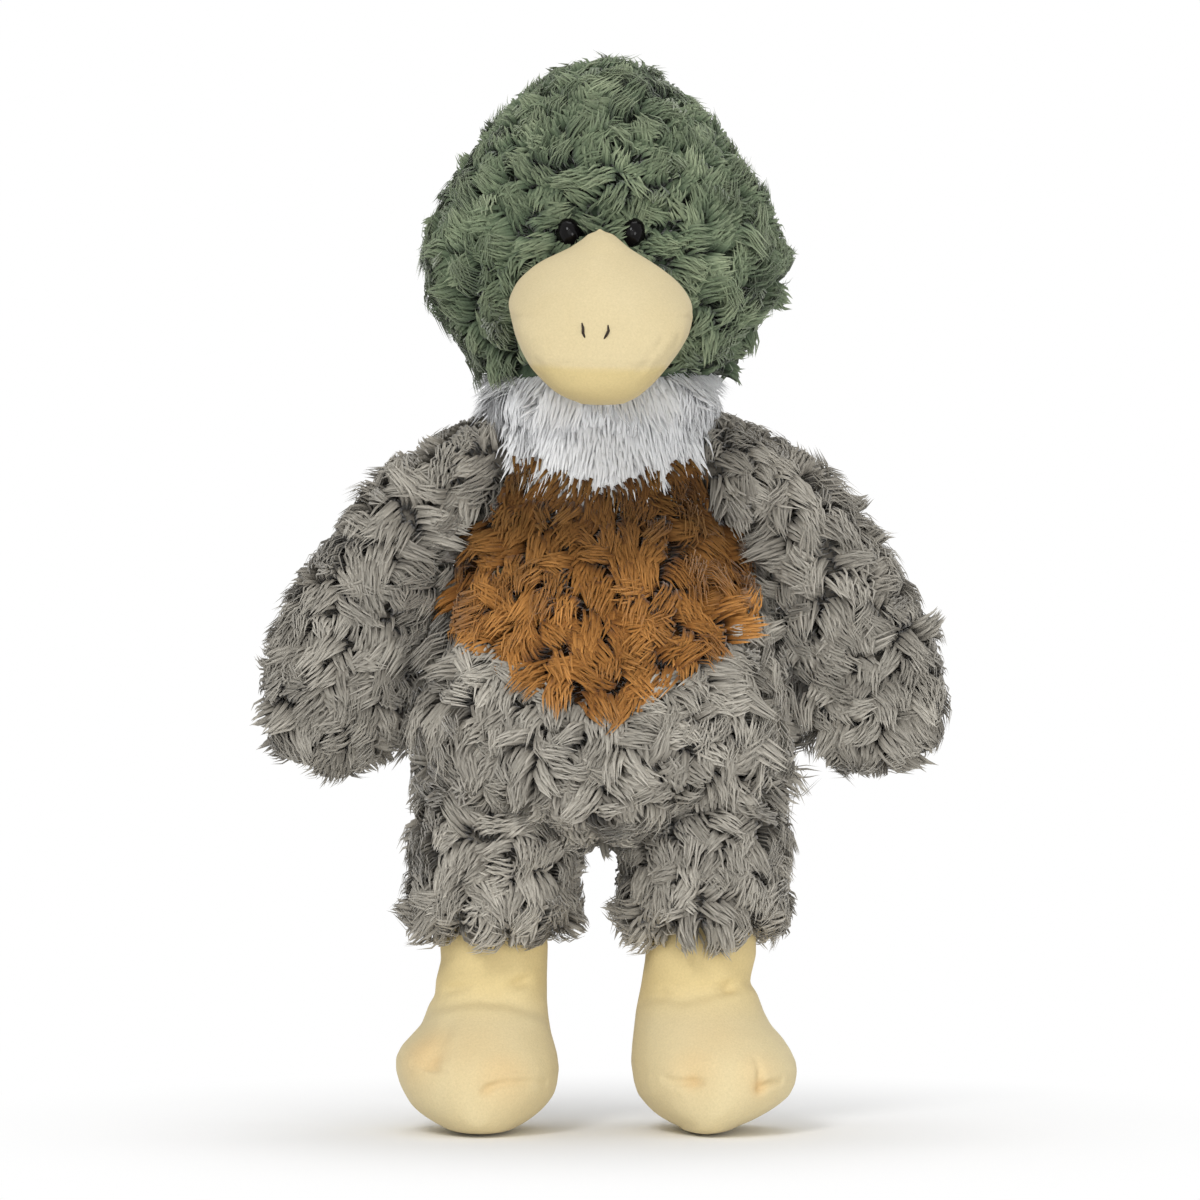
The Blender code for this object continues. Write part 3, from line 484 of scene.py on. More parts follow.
def colourMix(tree, factor, first, second):
    node = put(tree, "ShaderNodeMix", {"Factor": factor}, data_type="RGBA", blend_type="MIX")
    for index, colour in ((6, first), (7, second)):
        plug(tree, node, index, colour if isinstance(colour, bpy.types.NodeSocket) else (*colour, 1))
    return result(node)


def bumped(tree, shader, height, strength, distance):
    bump = put(tree, "ShaderNodeBump", {"Height": height, "Strength": strength, "Distance": distance})
    tree.links.new(result(bump), shader.inputs["Normal"])


def makePatches():
    # slow change of tone over a piece, from Object coordinates
    tree, _ = newTree("patches", "ShaderNodeTree", [
        ("Scale", "NodeSocketFloat", 30.0), ("Low", "NodeSocketFloat", 0.8), ("High", "NodeSocketFloat", 1.2),
    ], [("Value", "NodeSocketFloat")])
    given = put(tree, "NodeGroupInput")
    clouds = noiseAt(tree, objectPlace(tree), result(given, "Scale"), 3.0, Roughness=0.6)
    value = mapRange(tree, clouds, 0.3, 0.7, result(given, "Low"), result(given, "High"))
    put(tree, "NodeGroupOutput", {"Value": value})
    return tree


patches = makePatches()


def furMaterial(name, look):
    # strands: dark at the root, which is painted shade deep in the pile, and paler at the tip; the chart's u
    # is the strand's tone and v the way along it
    made, tree, shader = newMaterial(name, {
        "Roughness": look["roughness"], "Specular IOR Level": look["specular"],
        "Sheen Weight": look["sheen"], "Sheen Roughness": 0.4, "Subsurface Weight": look["softness"],
        "Subsurface Scale": 0.002, "Subsurface Radius": (1.0, 0.95, 0.9),
    })
    chart = result(put(tree, "ShaderNodeUVMap", uv_map="OFBake"))
    parts = partsOf(tree, chart)
    tone, share = parts[0], parts[1]
    dull = ramp(tree, share, [(0.0, look["root"]), (0.45, look["middle"]), (1.0, look["tip"])])
    bright = ramp(tree, share, [(0.0, look["root"]), (0.4, look["middleBright"]), (1.0, look["tipBright"])])
    colour = colourMix(tree, tone, dull, bright)
    fibres = noiseAt(tree, vectorMath(tree, "MULTIPLY", chart, (700.0, 2.0, 0.0)), 1.0, 1.0)
    streaks = mapRange(tree, fibres, 0.3, 0.7, 1 - look["streak"], 1 + look["streak"])
    colour = vectorMath(tree, "SCALE", colour, scale=streaks)
    slow = put(tree, "ShaderNodeGroup", {
        "Scale": look["patchScale"], "Low": look["patchLow"], "High": look["patchHigh"]}, node_tree=patches)
    higher = mapRange(
        tree, partsOf(tree, objectPlace(tree))[2], look["fadeFrom"], look["fadeTo"], 1.0, look["fadeShade"],
        interpolation_type="SMOOTHSTEP")
    shade = numberMath(tree, "MULTIPLY", slow.outputs["Value"], higher)
    tree.links.new(vectorMath(tree, "SCALE", colour, scale=shade), shader.inputs["Base Color"])
    return made


def clothMaterial(name, colour, dark, scale=900.0, roughness=0.9):
    # knitted backing, also seen between tufts
    made, tree, shader = newMaterial(name, {"Roughness": roughness, "Specular IOR Level": 0.2})
    place = objectPlace(tree)
    knit = result(put(tree, "ShaderNodeTexVoronoi", {"Vector": place, "Scale": scale}), "Distance")
    cloud = noiseAt(tree, place, scale / 6, 4.0)
    tree.links.new(colourMix(tree, cloud, dark, colour), shader.inputs["Base Color"])
    bumped(tree, shader, numberMath(tree, "ADD", knit, cloud), 0.6, 0.0006)
    return made


def velourMaterial(name, look):
    # short nap: fine grain, soft mottling of painted light and shade where the nap was stroked, and a warm
    # tint in the dips
    made, tree, shader = newMaterial(name, {
        "Roughness": 0.85, "Specular IOR Level": 0.25, "Sheen Weight": look["sheen"], "Sheen Roughness": 0.35,
        "Sheen Tint": (1.0, 0.93, 0.8, 1),
    })
    place = objectPlace(tree)
    drawnOut = vectorMath(tree, "MULTIPLY", place, (1.0, 1.0, 0.35))
    stroked = noiseAt(tree, drawnOut, 60.0, 3.0, Distortion=0.5)
    grain = noiseAt(tree, place, 1500.0, 3.0, Roughness=0.7)
    colour = colourMix(tree, stroked, look["shade"], look["light"])
    for attribute, tint in (("yellowing", look["yellow"]), ("warmth", look["warm"])):
        factor = result(put(tree, "ShaderNodeAttribute", attribute_name=attribute), "Fac")
        colour = colourMix(tree, factor, colour, tint)
    fleck = mapRange(tree, grain, 0.3, 0.7, 0.93, 1.05)
    tree.links.new(vectorMath(tree, "SCALE", colour, scale=fleck), shader.inputs["Base Color"])
    bumped(tree, shader, numberMath(tree, "MULTIPLY_ADD", grain, 1.0, stroked), 0.35, 0.0004)
    return made


# each look's root colour is darker than its middle and tip as painted shade deep in the pile
brownLook = {
    "density": 1.15e6, "tuftGap": 0.0040, "length": 0.0102, "lean": 0.95, "leanChange": 0.40, "rise": 0.84,
    "curl": 0.55, "spread": 0.74, "spreadChange": 0.35, "jitter": 0.0009, "whorlSize": 0.011, "whorl": 1.4,
    "scatter": 1.1, "width": 0.00145, "thickness": 0.00034, "segments": 3,
    "root": (0.158, 0.143, 0.120), "middle": (0.220, 0.201, 0.169), "tip": (0.325, 0.301, 0.257),
    "middleBright": (0.37, 0.340, 0.287), "tipBright": (0.67, 0.632, 0.550), "streak": 0.20,
    "softness": 0.18, "roughness": 0.8, "specular": 0.12, "sheen": 0.25,
    "patchScale": 42.0, "patchLow": 0.80, "patchHigh": 1.12, "fadeFrom": 0.0, "fadeTo": 1.0, "fadeShade": 1.0,
}
chestLook = dict(
    brownLook, root=(0.070, 0.025, 0.006), middle=(0.178, 0.067, 0.0138), tip=(0.348, 0.147, 0.0327),
    middleBright=(0.31, 0.126, 0.0275), tipBright=(0.705, 0.338, 0.096), length=0.0110, tuftGap=0.0044,
    fadeFrom=0.162, fadeTo=0.190, fadeShade=0.34)
greenLook = dict(
    brownLook, root=(0.040, 0.055, 0.035), middle=(0.068, 0.097, 0.057), tip=(0.140, 0.184, 0.104),
    middleBright=(0.122, 0.164, 0.097), tipBright=(0.37, 0.418, 0.262), length=0.0098, tuftGap=0.0038,
    density=1.25e6)
shadedShare = 0.84  # the wings wear the body's fur, darkened by this share as painted shade
shadedWingLook = dict(brownLook, length=0.0096, **{
    name: tuple(shadedShare * value for value in brownLook[name])
    for name in ("root", "middle", "tip", "middleBright", "tipBright")})
whiteLook = dict(
    brownLook, root=(0.74, 0.745, 0.75), middle=(0.76, 0.765, 0.77), tip=(0.77, 0.775, 0.78),
    middleBright=(0.77, 0.775, 0.78), tipBright=(0.82, 0.825, 0.83), length=0.0100, tuftGap=0.007,
    density=1.45e6, lean=1.15, leanChange=0.07, rise=0.36, curl=0.15, spread=1.0, spreadChange=0.1,
    jitter=0.0011, whorlSize=0.03, whorl=0.30, scatter=0.14, width=0.00165, thickness=0.00026,
    patchLow=0.97, patchHigh=1.02, streak=0.02)
for look, name in (
    (brownLook, "taupeCurlyFur"), (chestLook, "goldenChestFur"), (greenLook, "greenCurlyFur"),
    (whiteLook, "whiteCollarFur"), (shadedWingLook, "shadedTaupeWingFur"),
):
    look["material"] = furMaterial(name, look)
legLook = dict(brownLook, length=0.0094)
tailLook = dict(brownLook, length=0.0088)

brownCloth = clothMaterial("taupeBacking", (0.26, 0.238, 0.200), (0.17, 0.155, 0.130))
chestCloth = clothMaterial("goldenBacking", (0.15, 0.064, 0.018), (0.09, 0.038, 0.011))
greenCloth = clothMaterial("greenBacking", (0.072, 0.104, 0.064), (0.045, 0.066, 0.042))
whiteCloth = clothMaterial("whiteBacking", (0.70, 0.71, 0.72), (0.62, 0.63, 0.64))
fibre = clothMaterial("fibreStuffing", (0.88, 0.88, 0.86), (0.70, 0.70, 0.68), 400.0)
velour = {
    "light": (0.62, 0.525, 0.325), "shade": (0.57, 0.47, 0.268), "warm": (0.72, 0.47, 0.205),
    "yellow": (0.55, 0.435, 0.203), "sheen": 0.15,
}
billVelour = velourMaterial("creamBillVelour", velour)
footVelour = velourMaterial("creamFootVelour", dict(
    velour, light=(0.73, 0.625, 0.38), shade=(0.665, 0.55, 0.315), yellow=(0.69, 0.54, 0.25)))
blackGloss, _, _ = newMaterial("glossyBlackEye", {
    "Base Color": (0.004, 0.0035, 0.0035, 1), "Roughness": 0.04, "Specular IOR Level": 0.12,
})
darkThread = clothMaterial("darkBrownThread", (0.045, 0.030, 0.022), (0.020, 0.014, 0.010), 3000.0, 0.7)
washerPlastic = clothMaterial("whiteWasherPlastic", (0.80, 0.80, 0.78), (0.76, 0.76, 0.74), 200.0, 0.45)
print("materials made")


# the photograph's camera, also used to find places on the part from pixels of the photograph

cameraLook = {
    "aim": Vector((-0.0012, middleY, 0.1637)), "elevation": 1.0, "distance": 2.3, "seenWidth": 0.372,
    "pictureWidth": 1200,
}


def cameraFrame():
    rise = math.radians(cameraLook["elevation"])
    back = Vector((0, -math.cos(rise), math.sin(rise)))
    right = Vector((1, 0, 0))
    return cameraLook["aim"] + back * cameraLook["distance"], back, right, back.cross(right)


def sightLine(across, down):
    # from the camera through a pixel of the photograph
    eye, _, right, up = cameraFrame()
    half = cameraLook["pictureWidth"] / 2
    size = cameraLook["seenWidth"] / cameraLook["pictureWidth"]
    target = cameraLook["aim"] + right * ((across - half) * size) + up * ((half - down) * size)
    return eye, (target - eye).normalized()


def spotAt(tree, across, down):
    # where a pixel of the photograph meets a piece
    return tree.ray_cast(*sightLine(across, down))[0]


def pictureOf(places):
    # the pixel of the photograph that each place is seen at, and the size of a pixel there
    eye, back, right, up = cameraFrame()
    offsets = places - np.array(eye)
    ahead = offsets @ -np.array(back)
    size = cameraLook["seenWidth"] / cameraLook["pictureWidth"] * ahead / cameraLook["distance"]
    half = cameraLook["pictureWidth"] / 2
    return half + offsets @ np.array(right) / size, half - offsets @ np.array(up) / size, size


def outlineAt(rows, pixels, blur):
    # where an outline given by some pixels stands in each row
    points = sorted((down, across) for across, down in pixels)
    found = np.interp(rows, [point[0] for point in points], [point[1] for point in points])
    return np.convolve(np.pad(found, blur, mode="edge"), np.ones(2 * blur + 1) / (2 * blur + 1), "valid")


def fittedOutline(piece, look):
    # row by row, a form's width and place across follow its outline in the photograph
    data = piece.data
    places = np.array([vertex.co for vertex in data.vertices])
    across, down, size = pictureOf(places)
    if "rowSpan" in look:
        first, last = look["rowSpan"]
        wanted = first + (down - down.min()) * (last - first) / (down.max() - down.min())
        places[:, 2] -= (wanted - down) * size
        across, down, size = pictureOf(places)
    ends = np.array([edge.vertices[:] for edge in data.edges])
    firstDown, lastDown = down[ends[:, 0]], down[ends[:, 1]]
    rows = np.arange(math.ceil(down.min()), math.floor(down.max()) + 1.0)
    spans = []
    for row in rows:
        crossing = (firstDown - row) * (lastDown - row) <= 0
        crossing &= np.abs(firstDown - lastDown) > 1e-6
        start, end = ends[crossing, 0], ends[crossing, 1]
        share = (row - down[start]) / (down[end] - down[start])
        met = across[start] + share * (across[end] - across[start])
        spans.append((met.min(), met.max()))
    low, high = np.array(spans).T
    wantedLow = outlineAt(rows, look["leftPixels"], look["blur"])
    wantedHigh = outlineAt(rows, look["rightPixels"], look["blur"])
    widening = np.clip((wantedHigh - wantedLow) / np.maximum(high - low, 1.0), 0.55, 1.5)
    if "lastRow" in look:
        kept = np.searchsorted(rows, look["lastRow"])
        widening[kept:] = widening[kept]
    there = np.interp(down, rows, (high + low) / 2)
    target = np.interp(down, rows, (wantedHigh + wantedLow) / 2)
    target += (across - there) * np.interp(down, rows, widening)
    weight = np.clip((down - look["fadeRows"][0]) / (look["fadeRows"][1] - look["fadeRows"][0]), 0, 1)
    places[:, 0] += (target - across) * size * weight
    data.vertices.foreach_set("co", places.ravel())
    data.update()


# velour pieces: blown up as cloth, then their seams, dimples and creases drawn in

def inflated(name, mesh, look, sewn):
    # cloth blown up from inside and held where it is sewn in
    skin = asObject(name, mesh)
    before = [vertex.co.copy() for vertex in skin.data.vertices]
    held = skin.vertex_groups.new(name="sewn")
    held.add([index for index, place in enumerate(before) if sewn(place)], 1.0, "REPLACE")
    cloth = skin.modifiers.new("blown", "CLOTH")
    cloth.settings.quality = 6
    cloth.settings.use_pressure = True
    cloth.settings.uniform_pressure_force = look["pressure"]
    cloth.settings.effector_weights.gravity = 0
    cloth.settings.vertex_group_mass = "sewn"
    cloth.point_cache.frame_start = 1
    cloth.point_cache.frame_end = look["frames"]
    for step in range(1, look["frames"] + 1):
        bpy.context.scene.frame_set(step)
    blown = applied(skin)
    skin.modifiers.clear()
    skin.vertex_groups.clear()
    moves = [vertex.co - place for vertex, place in zip(blown.vertices, before)]
    print("cloth", name, "moved mm", round(1000 * max(move.length for move in moves), 2))
    for vertex, place, move in zip(skin.data.vertices, before, moves):
        if move.length > look["cap"]:
            move = move * (look["cap"] / move.length)
        vertex.co = place + move
    bpy.data.meshes.remove(blown)
    bpy.context.scene.frame_set(1)
    finer = skin.modifiers.new("finer", "SUBSURF")
    finer.levels = look["levels"]
    finer.render_levels = look["levels"]
    smooth = applied(skin)
    skin.modifiers.clear()
    skin.data = smooth
    smooth.name = name
    smooth.shade_smooth()
    return skin


def gapToLine(place, points):
    # distance to a line through points, and how far along it
    best, along = 1.0, 0.0
    for index, (first, last) in enumerate(zip(points, points[1:])):
        span = last - first
        share = clamped((place - first).dot(span) / max(span.length_squared, 1e-12))
        gap = (place - first - span * share).length
        if gap < best:
            best, along = gap, (index + share) / (len(points) - 1)
    return best, along


def spotsOf(tree, pixels):
    return [point for point in (spotAt(tree, *pixel) for pixel in pixels) if point]


def crease(depth, width, *pixels, rise=0.3, fade=True):
    # its depth, half width and pixels, the rise of the cloth beside it, and whether it fades at its ends
    return {"depth": depth, "width": width, "pixels": pixels, "rise": rise, "fade": fade}


def creased(piece, lines):
    tree = treeOfPiece(piece)
    drawn = [(line, spotsOf(tree, line["pixels"])) for line in lines]
    normals = [vertex.normal.copy() for vertex in piece.data.vertices]
    for vertex, normal in zip(piece.data.vertices, normals):
        push = 0.0
        for line, points in drawn:
            if len(points) < 2:
                continue
            gap, along = gapToLine(vertex.co, points)
            if gap > line["width"] * 5:
                continue
            fade = 1.0
            if line["fade"]:
                fade = math.sin(math.pi * clamped(0.12 + along * 0.76))
            near = gap / line["width"]
            push -= fade * line["depth"] * math.exp(-near * near)
            push += fade * line["rise"] * line["depth"] * near * near * math.exp(1 - 0.45 * near * near) / 3
        vertex.co += normal * push


def dimpled(piece, dimples):
    # returns how warm the shade is at each vertex
    tree = treeOfPiece(piece)
    warmth = [0.0] * len(piece.data.vertices)
    normals = [vertex.normal.copy() for vertex in piece.data.vertices]
    for pixel, size, depth, tint in dimples:
        centre = spotAt(tree, *pixel)
        if not centre:
            continue
        for index, (vertex, normal) in enumerate(zip(piece.data.vertices, normals)):
            gap = (vertex.co - centre).length
            if gap < size * 3:
                near = gap / size
                vertex.co -= normal * depth * math.exp(-near * near)
                warmth[index] = max(warmth[index], tint * math.exp(-(near / 1.15) ** 2))
    return warmth


def toned(piece, **tones):
    # the velour's two tints, one value a vertex
    for name, values in tones.items():
        piece.data.attributes.new(name, "FLOAT", "POINT").data.foreach_set("value", values)


billSize = {
    "voxel": 0.0024, "inset": 0.0004, "relax": 4, "pressure": 4.0, "frames": 16, "cap": 0.0018, "levels": 1,
    "rowSpan": (229, 405), "fadeRows": (0, 1), "blur": 5, "rootDepth": 0.0100, "rootFade": 0.004,
    "leftPixels": (
        (594, 229), (589, 234), (580, 241), (568, 249), (551, 256), (536, 264), (519, 279), (512, 291),
        (508, 303), (511, 318), (515, 335), (522, 352), (531, 368), (544, 382), (556, 393), (570, 400),
        (583, 404), (596, 406)),
    "rightPixels": (
        (604, 229), (613, 234), (621, 241), (630, 249), (642, 256), (655, 264), (674, 278), (685, 290),
        (692, 303), (693, 318), (689, 335), (679, 352), (667, 368), (655, 382), (643, 393), (632, 401),
        (622, 404), (608, 406)),
    "seamPixels": ((518, 358), (535, 362), (565, 365), (605, 366), (640, 367), (662, 364), (676, 358)),
    "lipSetBack": 0.0010, "lipYellow": 0.85, "lipFade": 0.0016,
}
billCreases = [
    crease(0.0009, 0.0010, *billSize["seamPixels"], rise=0.25, fade=False),
    crease(0.0006, 0.0012, (652, 352), (660, 345), (664, 336), rise=0.4),
    crease(0.0005, 0.0011, (638, 372), (645, 366), (650, 356), rise=0.4),
    crease(0.0005, 0.0011, (668, 352), (676, 344), (680, 334), rise=0.4),
]
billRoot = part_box("head_panel_left")[0].y + 0.010  # behind this depth the bill lies in the head's fur


def makeBill():
    names = ["beak_upper", "beak_lower", "beak_fill"]
    mesh = remeshed(names, billSize["voxel"])
    takenIn(mesh, billSize["relax"], billSize["inset"])
    bill = inflated("bill", mesh, billSize, lambda place: place.y > billRoot)
    for vertex in bill.data.vertices:
        vertex.co.y += billSize["rootDepth"] * clamped(
            (vertex.co.y - billRoot + billSize["rootFade"]) / billSize["rootFade"])
    fittedOutline(bill, billSize)
    creased(bill, billCreases)
    seam = spotsOf(treeOfPiece(bill), billSize["seamPixels"])
    lip = []
    for vertex in bill.data.vertices:
        place = vertex.co
        seamHeight = np.interp(place.x, [point.x for point in seam], [point.z for point in seam])
        under = clamped((seamHeight - place.z) / billSize["lipFade"])
        if place.y < billRoot:
            place.y += billSize["lipSetBack"] * under
        lip.append(under * billSize["lipYellow"])
    toned(bill, yellowing=lip, warmth=[0.0] * len(lip))
    bill.data.materials.append(billVelour)
    return ride(bill, "head", "beak_velour", names)


footSize = {
    "voxel": 0.0034, "inset": 0.0004, "relax": 3, "pressure": 4.0, "frames": 16, "cap": 0.0020, "levels": 2,
    "sewnUnderAnkle": 0.004, "sewnOverFloor": 0.0028,
    "yellow": 0.75, "yellowFrom": 0.034, "yellowOver": 0.012,
}
footMarks = {
    # dimples: pixel, size, depth, warmth
    "right": {
        "fadeRows": (925, 945), "blur": 3, "lastRow": 1126,
        "leftPixels": (
            (440, 940), (441, 960), (436, 980), (435, 995), (429, 1005), (421, 1025), (402, 1045),
            (396, 1057), (396, 1070), (400, 1084), (405, 1094), (411, 1104), (419, 1112), (429, 1119),
            (441, 1126), (456, 1132)),
        "rightPixels": (
            (548, 940), (547, 975), (547, 1000), (548, 1015), (551, 1033), (557, 1053), (559, 1068),
            (557, 1084), (554, 1094), (547, 1104), (539, 1112), (530, 1119), (519, 1126), (504, 1132)),
        "dimples": (
            ((432, 1059), 0.0042, 0.0016, 0.55), ((490, 1089), 0.0036, 0.0014, 0.40),
            ((425, 1052), 0.0085, 0.0, 0.50), ((502, 1074), 0.0085, 0.0, 0.42),
            ((478, 1050), 0.0130, 0.0, 0.22)),
        "creases": (
            crease(0.0011, 0.0011, (481, 1094), (488, 1088), (502, 1083), (525, 1082), (546, 1083)),
            crease(0.0009, 0.0012, (396, 1060), (412, 1063), (430, 1068), (444, 1072)),
            crease(0.0013, 0.0030, (426, 1014), (450, 1003), (485, 998), (520, 1005), (548, 1022)),
            crease(0.0004, 0.0022, (448, 1020), (446, 1034), (440, 1048)),
            crease(0.0013, 0.0017, (434, 991), (446, 990), (466, 987)),
            crease(0.0012, 0.0018, (512, 985), (530, 979), (547, 978)),
            crease(0.0006, 0.0022, (492, 1003), (508, 990), (524, 984)),
        ),
    },
    "left": {
        "fadeRows": (920, 940), "blur": 3, "lastRow": 1126,
        "leftPixels": (
            (648, 925), (645, 960), (641, 985), (636, 1010), (632, 1045), (631, 1062), (634, 1082),
            (638, 1094), (646, 1104), (654, 1112), (664, 1119), (676, 1125), (690, 1131)),
        "rightPixels": (
            (756, 930), (756, 955), (751, 975), (750, 983), (757, 993), (764, 1012), (771, 1025),
            (782, 1037), (790, 1049), (796, 1062), (797, 1072), (795, 1084), (789, 1096), (777, 1106),
            (766, 1113), (753, 1120), (739, 1126), (724, 1131)),
        "dimples": (
            ((692, 1080), 0.0038, 0.0014, 0.50), ((760, 1086), 0.0034, 0.0014, 0.60),
            ((694, 1066), 0.0080, 0.0, 0.34), ((758, 1072), 0.0075, 0.0, 0.30),
            ((712, 1040), 0.0130, 0.0, 0.20)),
        "creases": (
            crease(0.0016, 0.0011, (758, 1090), (768, 1084), (782, 1081), (797, 1078)),
            crease(0.0012, 0.0012, (664, 1079), (676, 1082), (690, 1082), (702, 1083)),
            crease(0.0017, 0.0020, (722, 990), (736, 985), (752, 981)),
            crease(0.0009, 0.0026, (682, 1000), (704, 994), (728, 988)),
            crease(0.0010, 0.0013, (757, 1060), (760, 1075), (760, 1090)),
            crease(0.0009, 0.0020, (642, 1000), (662, 996), (684, 1000)),
        ),
    },
}


def makeFoot(name):
    names = [part + name for part in ("foot_upper_", "foot_sole_", "foot_fill_")]
    mesh = remeshed(names, footSize["voxel"])
    takenIn(mesh, footSize["relax"], footSize["inset"])
    sewnFrom = ankles[name].z - footSize["sewnUnderAnkle"]
    foot = inflated(
        "foot" + name.title(), mesh, footSize,
        lambda place: place.z > sewnFrom or place.z < footSize["sewnOverFloor"])
    fittedOutline(foot, footMarks[name])
    warmth = dimpled(foot, footMarks[name]["dimples"])
    creased(foot, footMarks[name]["creases"])
    # the foot turns a darker yellow toward its top
    yellowing = []
    for vertex in foot.data.vertices:
        vertex.co.z = max(vertex.co.z, 0.0)
        yellowing.append(
            footSize["yellow"] * risen(vertex.co.z, footSize["yellowFrom"], footSize["yellowOver"]))
    toned(foot, warmth=warmth, yellowing=yellowing)
    foot.data.materials.append(footVelour)
    ride(foot, "foot_" + name, "foot_velour", names)


bill = makeBill()
billTree = treeOfPiece(bill)
for name in sides:
    makeFoot(name)
print("bill and feet made")


# eyes, stitches and the wads that the head and wings turn on

def turnedRings(profile, count, place, axis):
    # a profile of (radius, height) points turned about an axis
    mesh = bmesh.new()
    turned = Vector((0, 0, 1)).rotation_difference(axis).to_matrix()
    rings = []
    for radius, height in profile:
        steps = 1 if radius == 0 else count
        angles = [2 * math.pi * step / count for step in range(steps)]
        rings.append([
            mesh.verts.new(place + turned @ Vector((radius * math.cos(turn), radius * math.sin(turn), height)))
            for turn in angles])
    for upper, lower in zip(rings, rings[1:]):
        for step in range(count):
            following = (step + 1) % count
            corners = [upper[step % len(upper)], lower[step % len(lower)],
                       lower[following % len(lower)], upper[following % len(upper)]]
            mesh.faces.new(list(dict.fromkeys(corners)))
    bmesh.ops.recalc_face_normals(mesh, faces=mesh.faces)
    return mesh


eyeShape = {
    "tilt": 16, "narrowness": 0.80, "sunk": 0.0012, "columns": 48, "rows": 24, "domeShare": 0.98,
    "shift": {"right": Vector((-0.0012, 0, -0.0034)), "left": Vector((-0.0006, 0, -0.0034))},
    # rim and stem behind the dome, radius and depth as shares of the dome's radius
    "backShares": ((0.96, 1.03), (0.4, 1.05), (0.32, 1.2), (0.3, 3.4), (0.0, 3.45)),
}


def makeEye(name):
    low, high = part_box("eye_" + name)
    points = np.array([vertex.co for vertex in nodes["eye_" + name].data.vertices])
    stemEnd = Vector(points[points[:, 1].argmax()])
    top = Vector(points[points[:, 1].argmin()])
    facing = (top - stemEnd).normalized()
    radius = (high.z - low.z) / 2
    profile = [(0.0, 0.0)]
    for step in range(1, eyeShape["rows"] + 1):
        turn = math.radians(90 * step / eyeShape["rows"])
        profile.append((radius * math.sin(turn), -radius * (1 - math.cos(turn)) * eyeShape["domeShare"]))
    profile += [(radius * out, -radius * depth) for out, depth in eyeShape["backShares"]]
    mesh = turnedRings(profile, eyeShape["columns"], top, facing)
    tilt = math.radians(eyeShape["tilt"]) * sides[name]
    across = Vector((math.cos(tilt), 0, -math.sin(tilt)))
    for vertex in mesh.verts:
        vertex.co -= across * (vertex.co - top).dot(across) * (1 - eyeShape["narrowness"])
        vertex.co += eyeShape["shift"][name] - facing * eyeShape["sunk"]
    eye = asObject("eye" + name.title(), mesh)
    eye.data.materials.append(blackGloss)
    ride(eye, "head", "eye_black", ["eye_" + name])


threadSize = {
    "radius": 0.00042, "steps": 12, "columns": 8,
    "pixels": {
        "right": ((582, 323), (583, 328), (583, 333), (585, 338)),
        "left": ((608, 325), (608.5, 331), (606.5, 335), (604, 339))},
}


def makeStitch(name):
    # a short bent stitch of dark thread that dips into the velour at both ends
    acrosses, downs = zip(*threadSize["pixels"][name])
    knots = np.linspace(0, 1, len(downs))
    columns = threadSize["columns"]
    line = []
    for step in range(threadSize["steps"] + 1):
        share = step / threadSize["steps"]
        hit = spotAt(billTree, np.interp(share, knots, acrosses), np.interp(share, knots, downs))
        lift = threadSize["radius"] * (1.4 * math.sin(math.pi * share) - 0.5)
        line.append(hit - Vector((0, lift, 0)))
    mesh = bmesh.new()
    rings = []
    for index, place in enumerate(line):
        ahead = (line[min(index + 1, len(line) - 1)] - line[max(index - 1, 0)]).normalized()
        beside = ahead.cross(Vector((0, 1, 0))).normalized()
        above = ahead.cross(beside)
        share = index / (len(line) - 1)
        radius = threadSize["radius"] * (0.55 + 0.45 * math.sin(math.pi * share))
        rings.append([
            mesh.verts.new(place + (beside * math.cos(turn) + above * math.sin(turn)) * radius)
            for turn in (2 * math.pi * step / columns for step in range(columns))])
    for upper, lower in zip(rings, rings[1:]):
        for step in range(columns):
            following = (step + 1) % columns
            mesh.faces.new((upper[step], upper[following], lower[following], lower[step]))
    mesh.faces.new(rings[0])
    mesh.faces.new(rings[-1])
    bmesh.ops.recalc_face_normals(mesh, faces=mesh.faces)
    stitch = asObject("nostrilStitch" + name.title(), mesh)
    stitch.data.materials.append(darkThread)
    ride(stitch, "head", "thread", ["nostril_" + name])


wadSize = {"voxel": 0.0014, "relax": 3, "lump": 0.0003, "lumpScale": 220}


def makeWad(name, node, body):
    # a ball of fibre with a lumpy skin
    mesh = remeshed([node], wadSize["voxel"])
    relaxed(mesh, wadSize["relax"])
    mesh.normal_update()
    for vertex in mesh.verts:
        lump = wadSize["lump"] * noise(vertex.co * wadSize["lumpScale"]) - wadSize["lump"]
        vertex.co += vertex.normal * lump
    wad = asObject(name, mesh)
    wad.data.materials.append(fibre)
    ride(wad, body, "stuffing", [node])


makeWad("neckWad", "neck_fill", "neck")
for name in sides:
    makeWad("shoulderWad" + name.title(), "shoulder_fill_" + name, "shoulder_" + name)
    makeEye(name)
    makeStitch(name)
    washer = nodes["eye_washer_" + name]
    washer.data.materials.clear()
    washer.data.materials.append(washerPlastic)
print("eyes and stitches made")


# cores under the fur

pile = {
    "voxel": 0.0028, "depth": 0.0058, "wingDepth": 0.0050, "legVoxel": 0.0021, "legDepth": 0.0056,
    "tailVoxel": 0.002, "tailDepth": 0.0045,
}
domeRadius = (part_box("neck_collar")[1] - neckPivot).z + 0.002
hollow = {
    "shoulder": 0.0205, "hip": 0.0285, "cup": domeRadius + 0.0045, "legRoot": 0.0215, "legRootHeight": 0.019,
    "dome": domeRadius + 0.004, "domeFrom": neckPivot.z + 0.018,
}


def gapAside(place, spot):
    # distance from an upright line through a spot
    return (Vector((place.x, place.y, 0)) - Vector((spot.x, spot.y, 0))).length


def inHipHollow(place):
    return any(
        (place - hip).length < hollow["hip"] or (place.z < hip.z and gapAside(place, hip) < hollow["hip"])
        for hip in hips.values())


def inShoulderHollow(place):
    return any((place - spot).length < hollow["shoulder"] for spot in shoulders.values())


